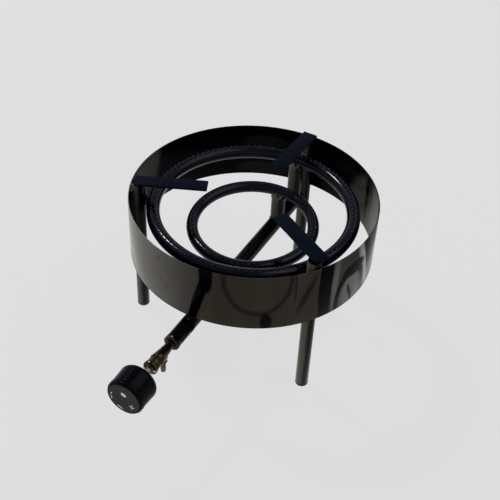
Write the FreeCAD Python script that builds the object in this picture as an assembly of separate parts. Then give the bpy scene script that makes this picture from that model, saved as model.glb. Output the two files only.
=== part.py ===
"""Gas ring burner for stock pots: wind shield, two burner rings, stand and tap.

Millimetres, +Z up. Every shape is built about the burner's own upright axis with
the floor at z = 0 and the mixer pipe running towards -Y. The finished shapes are
then moved along Y, so that the origin is the middle of the object's footprint.
"""
import FreeCAD, Part
import math
import os

from FreeCAD import Placement, Rotation, Vector

X_AXIS = Vector(1, 0, 0)
Y_AXIS = Vector(0, 1, 0)
Z_AXIS = Vector(0, 0, 1)

# ---------------------------------------------------------------- driving dimensions
# Heights are above the floor, radii are from the burner's axis.
POT_LEVEL = 268.0            # top of the pot bars
BAR_WIDTH = 25.5
BAR_THICKNESS = 4.0
BAR_LENGTH = 117.3
BAR_OVERHANG = 6.0           # outer end beyond the leg's axis
BAR_CORNER = 1.5             # sheared corners, slightly eased
BAR_ANGLES = {"back": 88.0, "left": 204.0, "right": 329.0}

LEG_DIAMETER = 21.0
LEG_WALL = 1.5
LEG_SHIELD_SPACE = 2.0       # between a leg and the inside of the shield
LEG_ANGLES = {"back": 88.0, "left": 204.0, "right": 326.5}
FOOT_HEIGHT = 5.0            # what shows of the plug below the tube
FOOT_PLUG_LENGTH = 14.0      # what is inside the tube
FOOT_EDGE = 2.0              # bevel

SHIELD_RADIUS = 200.0        # outside of the sheet
SHIELD_WALL = 1.5
SHIELD_HEIGHT = 101.0
SHIELD_DROP = 10.5           # upper edge below the pot level

OUTER_RING_SPACE = 3.45      # between the outer ring's tube and a leg
OUTER_TUBE_DIAMETER = 21.7
OUTER_RING_DROP = 39.5       # middle of the tube below the pot level
INNER_RING_RADIUS = 99.0     # to the middle of the tube
INNER_TUBE_DIAMETER = 19.0
INNER_RING_DROP = 73.0
INNER_RING_SAG = 3.0         # degrees; it hangs on its riser and droops towards the tap
TUBE_SIDES = 12              # flats round a ring's tube, two of them carry the port rows
SMALL_SIDES = 24             # flats round the small turned and moulded pieces
BEAD_SIDES = 8
PORT_WIDTH = 2.0
PORT_DEPTH = 3.0
OUTER_PORT_COUNT = 100       # in each of the two staggered rows
INNER_PORT_COUNT = 68
PORTS_PER_FLAT = 2

PIPE_DIAMETER = 25.0
PIPE_WALL = 1.5
PIPE_SHIELD_SPACE = 3.0      # from the shield's lower edge down to the pipe
PIPE_REACH = 51.0            # open end in front of the shield
PIPE_BACK_OVERHANG = 13.5    # closed end behind the outer riser's axis
AIR_HOLE_DIAMETER = 12.0
AIR_HOLE_COUNT = 4
AIR_HOLE_SETBACK = 42.0      # from the mouth
OUTLET_DIAMETER = 18.0       # holes in the pipe under the risers
RISER_DIAMETER = 24.0
RISER_WALL = 1.5
RISER_INSET = 6.0            # its axis, inside the middle of the ring's tube
RISER_CROWN = 1.0            # foot of the sloping crown above the tube's underside

FLANGE_LENGTH = 8.0
FLANGE_STAND = 2.0           # in front of the pipe's mouth
FLANGE_SCREW_DIAMETER = 4.0
FLANGE_SCREW_STAND = 1.2     # head proud of the pipe
SHANK_DIAMETER = 11.0        # tap body where it goes through the flange
SHANK_LENGTH = 10.0
CONE_LENGTH = 36.0
CONE_START_DIAMETER = 12.5
BARREL_DIAMETER = 22.0
BARREL_LENGTH = 16.0
OUTLET_BORE = 5.0
CHAMBER_BORE = 13.0
CHAMBER_DEPTH = 10.0
PLUG_LENGTH = 30.0
PLUG_SMALL_DIAMETER = 8.0
PLUG_LARGE_DIAMETER = 11.5
PLUG_FLOOR = 0.5             # free length of taper behind the plug's small end
GAS_WAY = 4.0                # drillings through the plug and the inlet
INLET_SETBACK = 21.0         # inlet axis in front of the start of the cone
INLET_BOSS_DIAMETER = 12.0
INLET_BOSS_REACH = 14.0      # below the tap's axis
NIPPLE_REACH = 37.0          # tip below the tap's axis
NIPPLE_DIAMETER = 8.5
NIPPLE_TIP = 1.0             # bevel on the tip
NIPPLE_HEX = 12.0
NIPPLE_HEX_HEIGHT = 4.0
NIPPLE_THREAD_DIAMETER = 7.0
NIPPLE_THREAD_LENGTH = 5.0
INJECTOR_HEX = 9.0
INJECTOR_LENGTH = 9.0
JET_DIAMETER = 1.2
JET_FACE = 1.5               # metal that the jet is drilled through

BONNET_DIAMETER = 23.5
BONNET_THICKNESS = 4.5
BONNET_SCREW_SPREAD = 8.9    # from the tap's axis
BONNET_SCREW_DIAMETER = 2.4
BONNET_SCREW_HEAD = 4.4
BONNET_SCREW_HEAD_HEIGHT = 1.6
BONNET_SCREW_LENGTH = 9.0

SPINDLE_DIAMETER = 8.0
SPINDLE_COLLAR = 11.6
SPINDLE_COLLAR_THICKNESS = 2.0
SPINDLE_FLAT = 1.5           # depth of the flat that drives the knob
SPINDLE_REACH = 60.0         # from the bonnet's outer face to the end
TANG_WIDTH = 2.4
TANG_BREADTH = 7.0
TANG_ENGAGEMENT = 4.0
PUSH_TRAVEL = 3.0
SPRING_WIRE = 1.0
SPRING_DIAMETER = 10.5       # over the coils
SPRING_TURNS = 3
SPRING_STEPS = 6             # sections in a turn

KNOB_DIAMETER = 64.0         # widest, at the rounded shoulder
KNOB_BAND_DIAMETER = 61.0    # over the front bands
KNOB_WAIST = 59.6            # in the groove between them
KNOB_FACE_DIAMETER = 55.2    # inside the front bevel
KNOB_LENGTH = 46.0
KNOB_GAP = 20.5              # from the bonnet to the knob's back edge
KNOB_WALL = 2.4
KNOB_SHOULDER = 5.0
KNOB_BAND = 2.5
KNOB_GROOVE = 1.5
KNOB_BEVEL = 3.5             # length of the front bevel
KNOB_LIP = 1.4               # width of the front lip round the dial
KNOB_FRONT_PLATE = 2.4
KNOB_HUB_DIAMETER = 16.0
DIAL_THICKNESS = 1.6
GRIP_WIDTH = 3.4
GRIP_DEPTH = 0.9
GRIP_MARGIN = 2.5            # from the shoulder and from the low band
CLIP_LENGTH = 5.0
CLIP_THICKNESS = 0.8
CLIP_OPENING = 6.0

WELD_WIDTH = 9.0             # beads between the outer ring and the legs
SHIELD_WELD_WIDTH = 6.0
SHIELD_WELD_MARGIN = 15.0    # from the shield's edges

# ---------------------------------------------------------------- named clearances
SEAT_GAP = 0.1               # between welded, pressed or screwed pieces
PLUG_CLEARANCE = 0.05        # radial, running fit of the taper plug
SPINDLE_CLEARANCE = 0.1      # radial, in the bonnet and in the knob
SLIDE_CLEARANCE = 0.2        # tang in its slot

# ---------------------------------------------------------------- worked out from them
SHIELD_RIM = POT_LEVEL - SHIELD_DROP
SHIELD_BOTTOM = SHIELD_RIM - SHIELD_HEIGHT
OUTER_RING_HEIGHT = POT_LEVEL - OUTER_RING_DROP
INNER_RING_HEIGHT = POT_LEVEL - INNER_RING_DROP
# the pipe's axis, which is the tap's axis too
PIPE_HEIGHT = SHIELD_BOTTOM - PIPE_SHIELD_SPACE - PIPE_DIAMETER / 2
LEG_TOP = POT_LEVEL - BAR_THICKNESS
LEG_AXIS_RADIUS = SHIELD_RADIUS - SHIELD_WALL - LEG_SHIELD_SPACE - LEG_DIAMETER / 2
BAR_OUTER_RADIUS = LEG_AXIS_RADIUS + BAR_OVERHANG
BAR_INNER_RADIUS = BAR_OUTER_RADIUS - BAR_LENGTH
OUTER_RING_RADIUS = LEG_AXIS_RADIUS - (LEG_DIAMETER + OUTER_TUBE_DIAMETER) / 2 - OUTER_RING_SPACE
PIPE_MOUTH = SHIELD_RADIUS + PIPE_REACH
PIPE_BORE = PIPE_DIAMETER - 2 * PIPE_WALL
PIPE_END = OUTER_RING_RADIUS + PIPE_BACK_OVERHANG
INNER_RISE = INNER_RING_RADIUS * math.tan(math.radians(INNER_RING_SAG))
CONE_START = -PIPE_MOUTH - FLANGE_STAND
SCREW_Y = CONE_START + (FLANGE_LENGTH + FLANGE_STAND) / 2
SHANK_START = CONE_START + SHANK_LENGTH
CONE_END = CONE_START - CONE_LENGTH
BARREL_END = CONE_END - BARREL_LENGTH
CHAMBER_START = BARREL_END + CHAMBER_DEPTH
PLUG_END = CHAMBER_START + PLUG_LENGTH
BONNET_FACE = BARREL_END - BONNET_THICKNESS
INLET_Y = CONE_START - INLET_SETBACK
BOSS_BOTTOM = PIPE_HEIGHT - INLET_BOSS_REACH
COLLAR_BACK = BARREL_END + SEAT_GAP + SPINDLE_COLLAR_THICKNESS
SPINDLE_END = BONNET_FACE - SPINDLE_REACH
KNOB_BACK = BONNET_FACE - KNOB_GAP
KNOB_FRONT = KNOB_BACK - KNOB_LENGTH
HUB_BACK = KNOB_BACK - KNOB_SHOULDER
BURNER_Y = (-KNOB_FRONT - SHIELD_RADIUS) / 2


def save(name, shape):
    """Move a finished shape to the row frame and write it."""
    shape = shape.copy()
    shape.translate(Vector(0, BURNER_Y, 0))
    shape.exportStep("parts/%s.step" % name)


def polar(radius, angle, height=0.0):
    """Point at a radius and a clock angle about the burner's axis."""
    turn = math.radians(angle)
    return Vector(radius * math.cos(turn), radius * math.sin(turn), height)


def upright(diameter, bottom, top, centre=Vector(0, 0, 0)):
    """Upright cylinder over a point of the floor."""
    base = Vector(centre.x, centre.y, bottom)
    return Part.makeCylinder(diameter / 2, top - bottom, base, Z_AXIS)


def faceted(profile, sides):
    """Solid with flat faces about the Z axis from a closed (radius, height) outline."""
    def corner(point, step):
        return polar(point[0], 360 * step / sides, point[1])

    faces = []
    for start, end in zip(profile, profile[1:] + profile[:1]):
        if start[0] == 0 and end[0] == 0:
            continue
        for step in range(sides):
            loop = [corner(start, step), corner(end, step),
                    corner(end, step + 1), corner(start, step + 1)]
            loop = [p for k, p in enumerate(loop) if p.distanceToPoint(loop[k - 1]) > 1e-6]
            faces.append(Part.Face(Part.makePolygon(loop + loop[:1])))
    return outward(Part.Solid(Part.makeShell(faces)))


def flat_tube(sections):
    """Solid with flat triangular faces through a row of corner loops, closed at both ends."""
    loops = [sections[0][::-1], sections[-1]]
    for near, far in zip(sections, sections[1:]):
        for k in range(len(near)):
            loops.append([near[k - 1], near[k], far[k]])
            loops.append([near[k - 1], far[k], far[k - 1]])
    shell = Part.makeShell([Part.Face(Part.makePolygon(loop + loop[:1])) for loop in loops])
    return outward(Part.Solid(shell))


def outward(solid):
    if solid.Volume < 0:
        solid.reverse()
    return solid


def turned(profile):
    """Turned piece on the tap's axis from (station, radius) points."""
    return facing_front(faceted([(radius, -station) for station, radius in profile], SMALL_SIDES), 0)


def bored(profile):
    """Like turned, but for a hole: its flats, not its corners, are at the radius."""
    flats = math.cos(math.pi / SMALL_SIDES)
    return turned([(station, radius / flats) for station, radius in profile])


def rod(diameter, start, end):
    return turned([(start, 0), (start, diameter / 2), (end, diameter / 2), (end, 0)])


def bore(diameter, start, end):
    return bored([(start, 0), (start, diameter / 2), (end, diameter / 2), (end, 0)])


def post(diameter, bottom, top, station, sides=SMALL_SIDES):
    """Upright flat-sided rod over a station of the tap's axis."""
    piece = faceted([(0, bottom), (diameter / 2, bottom), (diameter / 2, top), (0, top)], sides)
    piece.translate(Vector(0, station, 0))
    return piece


def facing_front(shape, station):
    """Turn a shape from the Z axis on to the tap's axis, its top towards the front."""
    shape = shape.copy()
    shape.rotate(Vector(0, 0, 0), X_AXIS, 90)
    shape.translate(Vector(0, station, PIPE_HEIGHT))
    return shape


def hexagon(across_flats, length, base, direction):
    """Hexagonal prism."""
    corners = [polar(across_flats / math.sqrt(3), 60 * k) for k in range(7)]
    prism = Part.Face(Part.makePolygon(corners)).extrude(Vector(0, 0, length))
    prism.Placement = Placement(base, Rotation(Z_AXIS, direction))
    return prism


# ---------------------------------------------------------------- stand
def leg_point(side):
    return polar(LEG_AXIS_RADIUS, LEG_ANGLES[side])


def leg(side):
    """Upright tube from its foot plug to the underside of the pot bar."""
    tube = upright(LEG_DIAMETER, FOOT_HEIGHT, LEG_TOP, leg_point(side))
    return tube.cut(upright(LEG_DIAMETER - 2 * LEG_WALL, FOOT_HEIGHT, LEG_TOP, leg_point(side)))


def foot_cap(side):
    """Moulded plug: a bevelled pad below the tube and a shank inside it."""
    pad = LEG_DIAMETER / 2
    shank = pad - LEG_WALL - SEAT_GAP
    cap = faceted([(0, 0), (pad - FOOT_EDGE, 0), (pad, FOOT_EDGE), (pad, FOOT_HEIGHT), (shank, FOOT_HEIGHT),
                   (shank, FOOT_HEIGHT + FOOT_PLUG_LENGTH), (0, FOOT_HEIGHT + FOOT_PLUG_LENGTH)],
                  SMALL_SIDES)
    cap.translate(leg_point(side))
    return cap


def pot_bar(side):
    """Flat radial bar that carries the pot, lying on its leg."""
    corner = Vector(BAR_INNER_RADIUS, -BAR_WIDTH / 2, LEG_TOP)
    bar = Part.makeBox(BAR_OUTER_RADIUS - BAR_INNER_RADIUS, BAR_WIDTH, BAR_THICKNESS, corner)
    upright_edges = [edge for edge in bar.Edges if edge.BoundBox.ZLength > BAR_THICKNESS / 2]
    bar = bar.makeChamfer(BAR_CORNER, upright_edges)
    bar.rotate(Vector(0, 0, 0), Z_AXIS, BAR_ANGLES[side])
    return bar


def wind_shield():
    """Rolled sheet band, open at the top and the bottom."""
    outside = upright(2 * SHIELD_RADIUS, SHIELD_BOTTOM, SHIELD_RIM)
    return outside.cut(upright(2 * (SHIELD_RADIUS - SHIELD_WALL), SHIELD_BOTTOM, SHIELD_RIM))


def shield_welds():
    """One upright bead on each leg that holds the shield."""
    inside = upright(2 * (SHIELD_RADIUS - SHIELD_WALL - SEAT_GAP), 0, POT_LEVEL)
    beads = []
    for side, angle in LEG_ANGLES.items():
        corner = Vector(LEG_AXIS_RADIUS, -SHIELD_WELD_WIDTH / 2, SHIELD_BOTTOM + SHIELD_WELD_MARGIN)
        bead = Part.makeBox(SHIELD_RADIUS - LEG_AXIS_RADIUS, SHIELD_WELD_WIDTH,
                            SHIELD_HEIGHT - 2 * SHIELD_WELD_MARGIN, corner)
        bead.rotate(Vector(0, 0, 0), Z_AXIS, angle)
        leg_space = upright(LEG_DIAMETER + 2 * SEAT_GAP, 0, POT_LEVEL, leg_point(side))
        beads.append(bead.common(inside).cut(leg_space))
    return Part.makeCompound(beads)


# ---------------------------------------------------------------- burner
def ring_tube(ring_radius, diameter, port_count):
    """Closed ring of round tube, level, about the burner's axis at height 0."""
    outline = [(ring_radius + diameter / 2 * math.sin(math.radians(360 * k / TUBE_SIDES)),
                diameter / 2 * math.cos(math.radians(360 * k / TUBE_SIDES)))
               for k in range(TUBE_SIDES)]
    return faceted(outline, port_count // PORTS_PER_FLAT)


def ports(ring_radius, diameter, port_count):
    """Two staggered rows of ports, square to the two top flats of the tube."""
    drills = []
    for row in (-1, 1):
        tilt = row * 180 / TUBE_SIDES
        half = PORT_WIDTH / 2
        drill = Part.makeBox(PORT_WIDTH, PORT_WIDTH, 2 * PORT_DEPTH,
                             Vector(-half, -half, diameter / 2 - PORT_DEPTH))
        drill.rotate(Vector(0, 0, 0), Y_AXIS, tilt)
        drill.translate(Vector(ring_radius, 0, 0))
        for k in range(port_count):
            turned_drill = drill.copy()
            angle = 360 * (k + 0.5 + 0.25 * row) / port_count
            turned_drill.rotate(Vector(0, 0, 0), Z_AXIS, angle)
            drills.append(turned_drill)
    return Part.makeCompound(drills)


def place_outer(shape):
    shape = shape.copy()
    shape.translate(Vector(0, 0, OUTER_RING_HEIGHT))
    return shape


def place_inner(shape):
    shape = shape.copy()
    shape.rotate(Vector(0, 0, 0), X_AXIS, INNER_RING_SAG)
    shape.translate(Vector(0, 0, INNER_RING_HEIGHT))
    return shape


def drilled_ring(ring_radius, diameter, port_count):
    tube = ring_tube(ring_radius, diameter, port_count)
    return tube.cut(ports(ring_radius, diameter, port_count))


def outer_ring():
    return place_outer(drilled_ring(OUTER_RING_RADIUS, OUTER_TUBE_DIAMETER, OUTER_PORT_COUNT))


def inner_ring():
    return place_inner(drilled_ring(INNER_RING_RADIUS, INNER_TUBE_DIAMETER, INNER_PORT_COUNT))


def outer_ring_space():
    """The outer ring with its seat gap, for the pieces that are shaped to it."""
    diameter = OUTER_TUBE_DIAMETER + 2 * SEAT_GAP
    return place_outer(ring_tube(OUTER_RING_RADIUS, diameter, OUTER_PORT_COUNT))


def inner_ring_space():
    diameter = INNER_TUBE_DIAMETER + 2 * SEAT_GAP
    return place_inner(ring_tube(INNER_RING_RADIUS, diameter, INNER_PORT_COUNT))


def ring_welds():
    """Short beads that hold the outer ring on the legs."""
    space = outer_ring_space()
    beads = []
    for side, angle in LEG_ANGLES.items():
        half = WELD_WIDTH / 2
        bead = faceted([(0, 0), (half, 0), (half, LEG_AXIS_RADIUS - OUTER_RING_RADIUS),
                        (0, LEG_AXIS_RADIUS - OUTER_RING_RADIUS)], BEAD_SIDES)
        bead.rotate(Vector(0, 0, 0), Y_AXIS, 90)
        bead.translate(Vector(OUTER_RING_RADIUS, 0, OUTER_RING_HEIGHT))
        bead.rotate(Vector(0, 0, 0), Z_AXIS, angle)
        leg_space = upright(LEG_DIAMETER + 2 * SEAT_GAP, 0, POT_LEVEL, leg_point(side))
        beads.append(bead.cut(leg_space).cut(space))
    return Part.makeCompound(beads)


def mixer_pipe():
    """Straight tube with air holes behind its mouth and two outlets for the risers."""
    pipe = rod(PIPE_DIAMETER, -PIPE_MOUTH, PIPE_END).cut(bore(PIPE_BORE, -PIPE_MOUTH, PIPE_END))
    for k in range(AIR_HOLE_COUNT):
        hole = post(AIR_HOLE_DIAMETER, 0, PIPE_DIAMETER, 0, TUBE_SIDES)
        hole.rotate(Vector(0, 0, 0), Y_AXIS, 360 * k / AIR_HOLE_COUNT)
        hole.translate(Vector(0, AIR_HOLE_SETBACK - PIPE_MOUTH, PIPE_HEIGHT))
        pipe = pipe.cut(hole)
    for radius in (INNER_RING_RADIUS, OUTER_RING_RADIUS):
        top = PIPE_HEIGHT + PIPE_DIAMETER
        pipe = pipe.cut(post(OUTLET_DIAMETER, PIPE_HEIGHT, top, radius - RISER_INSET))
    return pipe.cut(set_screw(SEAT_GAP))


def pipe_end_cap():
    """Pressed disc that closes the far end of the pipe."""
    cap = faceted([(0, 0), (PIPE_BORE / 2 - SEAT_GAP, 0), (PIPE_BORE / 2 - SEAT_GAP, PIPE_WALL),
                   (0, PIPE_WALL)], SMALL_SIDES)
    return facing_front(cap, PIPE_END)


def riser(radius, tube_diameter, ring_space, ring_centre):
    """Short upright tube, its foot shaped to the pipe and its sloping crown to a ring."""
    station = radius - RISER_INSET
    underside = ring_centre - tube_diameter / 2
    tube = post(RISER_DIAMETER, PIPE_HEIGHT, ring_centre, station)
    inside = RISER_DIAMETER - 2 * RISER_WALL
    tube = tube.cut(post(inside, PIPE_HEIGHT, underside + 3 * SEAT_GAP, station))
    slope = Part.makeBox(2 * RISER_DIAMETER, 2 * RISER_DIAMETER, RISER_DIAMETER,
                         Vector(-RISER_DIAMETER, -RISER_DIAMETER, 0))
    slope.rotate(Vector(0, 0, 0), X_AXIS, 45)
    slope.translate(Vector(0, station - RISER_DIAMETER / 2, underside + RISER_CROWN))
    pipe_space = rod(PIPE_DIAMETER + 2 * SEAT_GAP, -PIPE_MOUTH, PIPE_END)
    return tube.cut(slope).cut(ring_space).cut(pipe_space)


def outer_riser():
    return riser(OUTER_RING_RADIUS, OUTER_TUBE_DIAMETER, outer_ring_space(), OUTER_RING_HEIGHT)


def inner_riser():
    return riser(INNER_RING_RADIUS, INNER_TUBE_DIAMETER, inner_ring_space(),
                 INNER_RING_HEIGHT + INNER_RISE)


# ---------------------------------------------------------------- tap, fixed pieces
def mouth_flange():
    """Brass collar that centres the tap in the pipe's mouth, tapped for a set screw."""
    collar = rod(PIPE_BORE - 2 * SEAT_GAP, CONE_START + FLANGE_LENGTH, CONE_START)
    collar = collar.cut(bore(SHANK_DIAMETER + 2 * SEAT_GAP, CONE_START + FLANGE_LENGTH, CONE_START))
    return collar.cut(set_screw(SEAT_GAP))


def set_screw(gap):
    """The flange's set screw with a gap all round, from the shank to above the pipe."""
    bottom = PIPE_HEIGHT + SHANK_DIAMETER / 2 + 2 * SEAT_GAP - gap
    top = PIPE_HEIGHT + PIPE_DIAMETER / 2 + FLANGE_SCREW_STAND
    return post(FLANGE_SCREW_DIAMETER + 2 * gap, bottom, top, SCREW_Y, BEAD_SIDES)


def flange_screw():
    return set_screw(0)


def taper(gap, floor):
    """Outline of the taper plug with a radial gap, lengthened past its small end."""
    slope = (PLUG_LARGE_DIAMETER - PLUG_SMALL_DIAMETER) / 2 / PLUG_LENGTH
    small = PLUG_SMALL_DIAMETER / 2 - slope * floor + gap
    return [(CHAMBER_START, 0), (CHAMBER_START, PLUG_LARGE_DIAMETER / 2 + gap),
            (PLUG_END + floor, small), (PLUG_END + floor, 0)]


def bonnet_screw_parts(diameter, length, direction):
    """Two equal rods that start at the bonnet's face, one on each side of the spindle."""
    parts = []
    for side in (-1, 1):
        piece = faceted([(0, 0), (diameter / 2, 0), (diameter / 2, length), (0, length)], BEAD_SIDES)
        piece.rotate(Vector(0, 0, 0), X_AXIS, -90 * direction)
        piece.translate(Vector(side * BONNET_SCREW_SPREAD, BONNET_FACE, PIPE_HEIGHT))
        parts.append(piece)
    return parts


def bonnet_screw_space():
    shank = BONNET_SCREW_DIAMETER + 2 * SEAT_GAP
    return Part.makeCompound(bonnet_screw_parts(shank, BONNET_SCREW_LENGTH + SEAT_GAP, 1))


def valve_body():
    """Cast and turned brass body: shank, cone, barrel and inlet boss."""
    body = turned([(SHANK_START, 0), (SHANK_START, SHANK_DIAMETER / 2),
                   (CONE_START, SHANK_DIAMETER / 2), (CONE_START, CONE_START_DIAMETER / 2),
                   (CONE_END, BARREL_DIAMETER / 2), (BARREL_END, BARREL_DIAMETER / 2),
                   (BARREL_END, 0)])
    body = body.fuse(post(INLET_BOSS_DIAMETER, BOSS_BOTTOM, PIPE_HEIGHT, INLET_Y))
    body = body.cut(bore(OUTLET_BORE, SHANK_START, PLUG_END))
    body = body.cut(bored(taper(PLUG_CLEARANCE, PLUG_FLOOR)))
    body = body.cut(bore(CHAMBER_BORE, CHAMBER_START, BARREL_END))
    body = body.cut(post(GAS_WAY, BOSS_BOTTOM, PIPE_HEIGHT, INLET_Y, BEAD_SIDES))
    body = body.cut(post(NIPPLE_THREAD_DIAMETER + 2 * SEAT_GAP, BOSS_BOTTOM,
                         BOSS_BOTTOM + NIPPLE_THREAD_LENGTH + SEAT_GAP, INLET_Y))
    return body.cut(bonnet_screw_space())


def injector():
    """Hexagonal brass jet on the end of the shank."""
    end = SHANK_START + INJECTOR_LENGTH
    jet = hexagon(INJECTOR_HEX, INJECTOR_LENGTH, Vector(0, SHANK_START, PIPE_HEIGHT), Y_AXIS)
    return jet.cut(bore(OUTLET_BORE, SHANK_START, end - JET_FACE)).cut(bore(JET_DIAMETER, SHANK_START, end))


def hose_nipple():
    """Gas inlet: thread, hexagon and plain tail that a hose is pushed on to."""
    tip = PIPE_HEIGHT - NIPPLE_REACH
    hex_bottom = BOSS_BOTTOM - NIPPLE_HEX_HEIGHT
    nipple = hexagon(NIPPLE_HEX, NIPPLE_HEX_HEIGHT, Vector(0, INLET_Y, hex_bottom), Z_AXIS)
    thread_top = BOSS_BOTTOM + NIPPLE_THREAD_LENGTH
    nipple = nipple.fuse(post(NIPPLE_THREAD_DIAMETER, BOSS_BOTTOM, thread_top, INLET_Y))
    tail = upright(NIPPLE_DIAMETER, tip, hex_bottom, Vector(0, INLET_Y, 0))
    tail = tail.makeChamfer(NIPPLE_TIP, [e for e in tail.Edges if e.BoundBox.ZMax < tip + SEAT_GAP])
    return nipple.fuse(tail).cut(post(GAS_WAY, tip, thread_top, INLET_Y, BEAD_SIDES))


def bonnet():
    """Cover plate that keeps the spindle in the barrel."""
    plate = rod(BONNET_DIAMETER, BARREL_END, BONNET_FACE)
    plate = plate.cut(bore(SPINDLE_DIAMETER + 2 * SPINDLE_CLEARANCE, BARREL_END, BONNET_FACE))
    return plate.cut(bonnet_screw_space())


def bonnet_screws():
    """Two cheese-head screws through the bonnet."""
    shanks = bonnet_screw_parts(BONNET_SCREW_DIAMETER, BONNET_SCREW_LENGTH, 1)
    heads = bonnet_screw_parts(BONNET_SCREW_HEAD, BONNET_SCREW_HEAD_HEIGHT, -1)
    return Part.makeCompound([head.fuse(shank) for head, shank in zip(heads, shanks)])


# ---------------------------------------------------------------- tap, moving pieces
def tang(gap, depth):
    """The spindle's flat tang with a gap, from the collar down to a depth in the plug."""
    breadth = TANG_BREADTH + 2 * gap
    width = TANG_WIDTH + 2 * gap
    corner = Vector(-breadth / 2, COLLAR_BACK, PIPE_HEIGHT - width / 2)
    return Part.makeBox(breadth, CHAMBER_START + depth - COLLAR_BACK, width, corner)


def taper_plug():
    """Rotating plug: shut at rest, its side drilling meets the inlet at a quarter turn."""
    plug = turned(taper(0, 0))
    plug = plug.cut(bore(GAS_WAY, PLUG_END, INLET_Y - GAS_WAY / 2))
    side_way = post(GAS_WAY, 0, PLUG_LARGE_DIAMETER, 0, BEAD_SIDES)
    side_way.rotate(Vector(0, 0, 0), Y_AXIS, -90)
    side_way.translate(Vector(0, INLET_Y, PIPE_HEIGHT))
    return plug.cut(side_way).cut(tang(SLIDE_CLEARANCE, TANG_ENGAGEMENT + PUSH_TRAVEL + SLIDE_CLEARANCE))


def plug_spring():
    """Coil spring between the plug and the spindle's collar."""
    radius = (SPRING_DIAMETER - SPRING_WIRE) / 2
    half = SPRING_WIRE / 2
    start = CHAMBER_START - SEAT_GAP - half
    end = COLLAR_BACK + SEAT_GAP + half
    count = SPRING_TURNS * SPRING_STEPS
    sections = []
    for k in range(count + 1):
        turn = math.radians(360 * k / SPRING_STEPS)
        station = start + (end - start) * k / count
        corners = []
        for outward, forward in ((-half, -half), (half, -half), (half, half), (-half, half)):
            reach = radius + outward
            corners.append(Vector(reach * math.cos(turn), station + forward,
                                  PIPE_HEIGHT + reach * math.sin(turn)))
        sections.append(corners)
    return flat_tube(sections)


def spindle():
    """Steel spindle: tang, collar and a rod with a driving flat."""
    shaft = rod(SPINDLE_DIAMETER, COLLAR_BACK, SPINDLE_END).cut(spindle_flat(0))
    collar = rod(SPINDLE_COLLAR, COLLAR_BACK, COLLAR_BACK - SPINDLE_COLLAR_THICKNESS)
    return shaft.fuse(collar).fuse(tang(0, TANG_ENGAGEMENT))


def spindle_flat(gap):
    """What is milled off the shaft's end to leave its driving flat."""
    level = PIPE_HEIGHT + SPINDLE_DIAMETER / 2 - SPINDLE_FLAT + gap
    corner = Vector(-SPINDLE_DIAMETER, SPINDLE_END - SEAT_GAP, level)
    return Part.makeBox(2 * SPINDLE_DIAMETER, KNOB_BACK - SPINDLE_END, SPINDLE_DIAMETER, corner)


def knob():
    """Moulded control knob, open at the back, with a hub for the spindle."""
    back = KNOB_DIAMETER / 2
    front = KNOB_BAND_DIAMETER / 2
    waist = KNOB_WAIST / 2
    face = KNOB_FACE_DIAMETER / 2
    groove = KNOB_LENGTH - KNOB_BEVEL - KNOB_BAND
    low_band = groove - KNOB_GROOVE
    low_end = low_band - KNOB_BAND
    dial_seat = KNOB_LENGTH - DIAL_THICKNESS
    plate = dial_seat - KNOB_FRONT_PLATE
    shell = faceted([
        (back - KNOB_SHOULDER, 0), (back - KNOB_SHOULDER / 4, KNOB_SHOULDER / 3),
        (back, KNOB_SHOULDER), (waist, low_end), (front, low_end), (front, low_band),
        (waist, low_band), (waist, groove), (front, groove), (front, KNOB_LENGTH - KNOB_BEVEL),
        (face, KNOB_LENGTH), (face - KNOB_LIP, KNOB_LENGTH), (face - KNOB_LIP, dial_seat),
        (0, dial_seat), (0, plate), (waist - KNOB_WALL, plate), (back - KNOB_WALL, KNOB_SHOULDER),
        (back - KNOB_SHOULDER - KNOB_WALL, 0)], SMALL_SIDES)
    shell = facing_front(shell, KNOB_BACK)
    slope = math.degrees(math.atan2(waist - back, low_end - KNOB_SHOULDER))
    flat = back * math.cos(math.pi / SMALL_SIDES)
    grooves = []
    for k in range(SMALL_SIDES):
        cut = Part.makeBox(2 * GRIP_DEPTH, GRIP_WIDTH, low_end - KNOB_SHOULDER - 2 * GRIP_MARGIN,
                           Vector(flat - GRIP_DEPTH, -GRIP_WIDTH / 2, KNOB_SHOULDER + GRIP_MARGIN))
        cut.rotate(Vector(flat, 0, KNOB_SHOULDER), Y_AXIS, slope)
        cut.rotate(Vector(0, 0, 0), Z_AXIS, 360 * (k + 0.5) / SMALL_SIDES)
        grooves.append(facing_front(cut, KNOB_BACK))
    shell = shell.cut(Part.makeCompound(grooves))
    hub = rod(KNOB_HUB_DIAMETER, HUB_BACK, KNOB_FRONT + DIAL_THICKNESS + KNOB_FRONT_PLATE / 2)
    hole = bore(SPINDLE_DIAMETER + 2 * SPINDLE_CLEARANCE, HUB_BACK, SPINDLE_END - SEAT_GAP)
    return shell.fuse(hub).cut(hole.cut(spindle_flat(SPINDLE_CLEARANCE)))


def knob_dial():
    """Printed disc let into the knob's front."""
    radius = KNOB_FACE_DIAMETER / 2 - KNOB_LIP - 2 * SEAT_GAP
    return rod(2 * radius, KNOB_FRONT + DIAL_THICKNESS - SEAT_GAP, KNOB_FRONT)


def knob_clip():
    """Open spring ring that grips the hub round the spindle."""
    start = HUB_BACK - CLIP_THICKNESS
    inside = KNOB_HUB_DIAMETER + 2 * SEAT_GAP
    ring = rod(inside + 2 * CLIP_THICKNESS, start, start - CLIP_LENGTH)
    opening = Part.makeBox(CLIP_OPENING, CLIP_LENGTH, KNOB_HUB_DIAMETER,
                           Vector(-CLIP_OPENING / 2, start - CLIP_LENGTH, PIPE_HEIGHT))
    return ring.cut(bore(inside, start, start - CLIP_LENGTH)).cut(opening)


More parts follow.
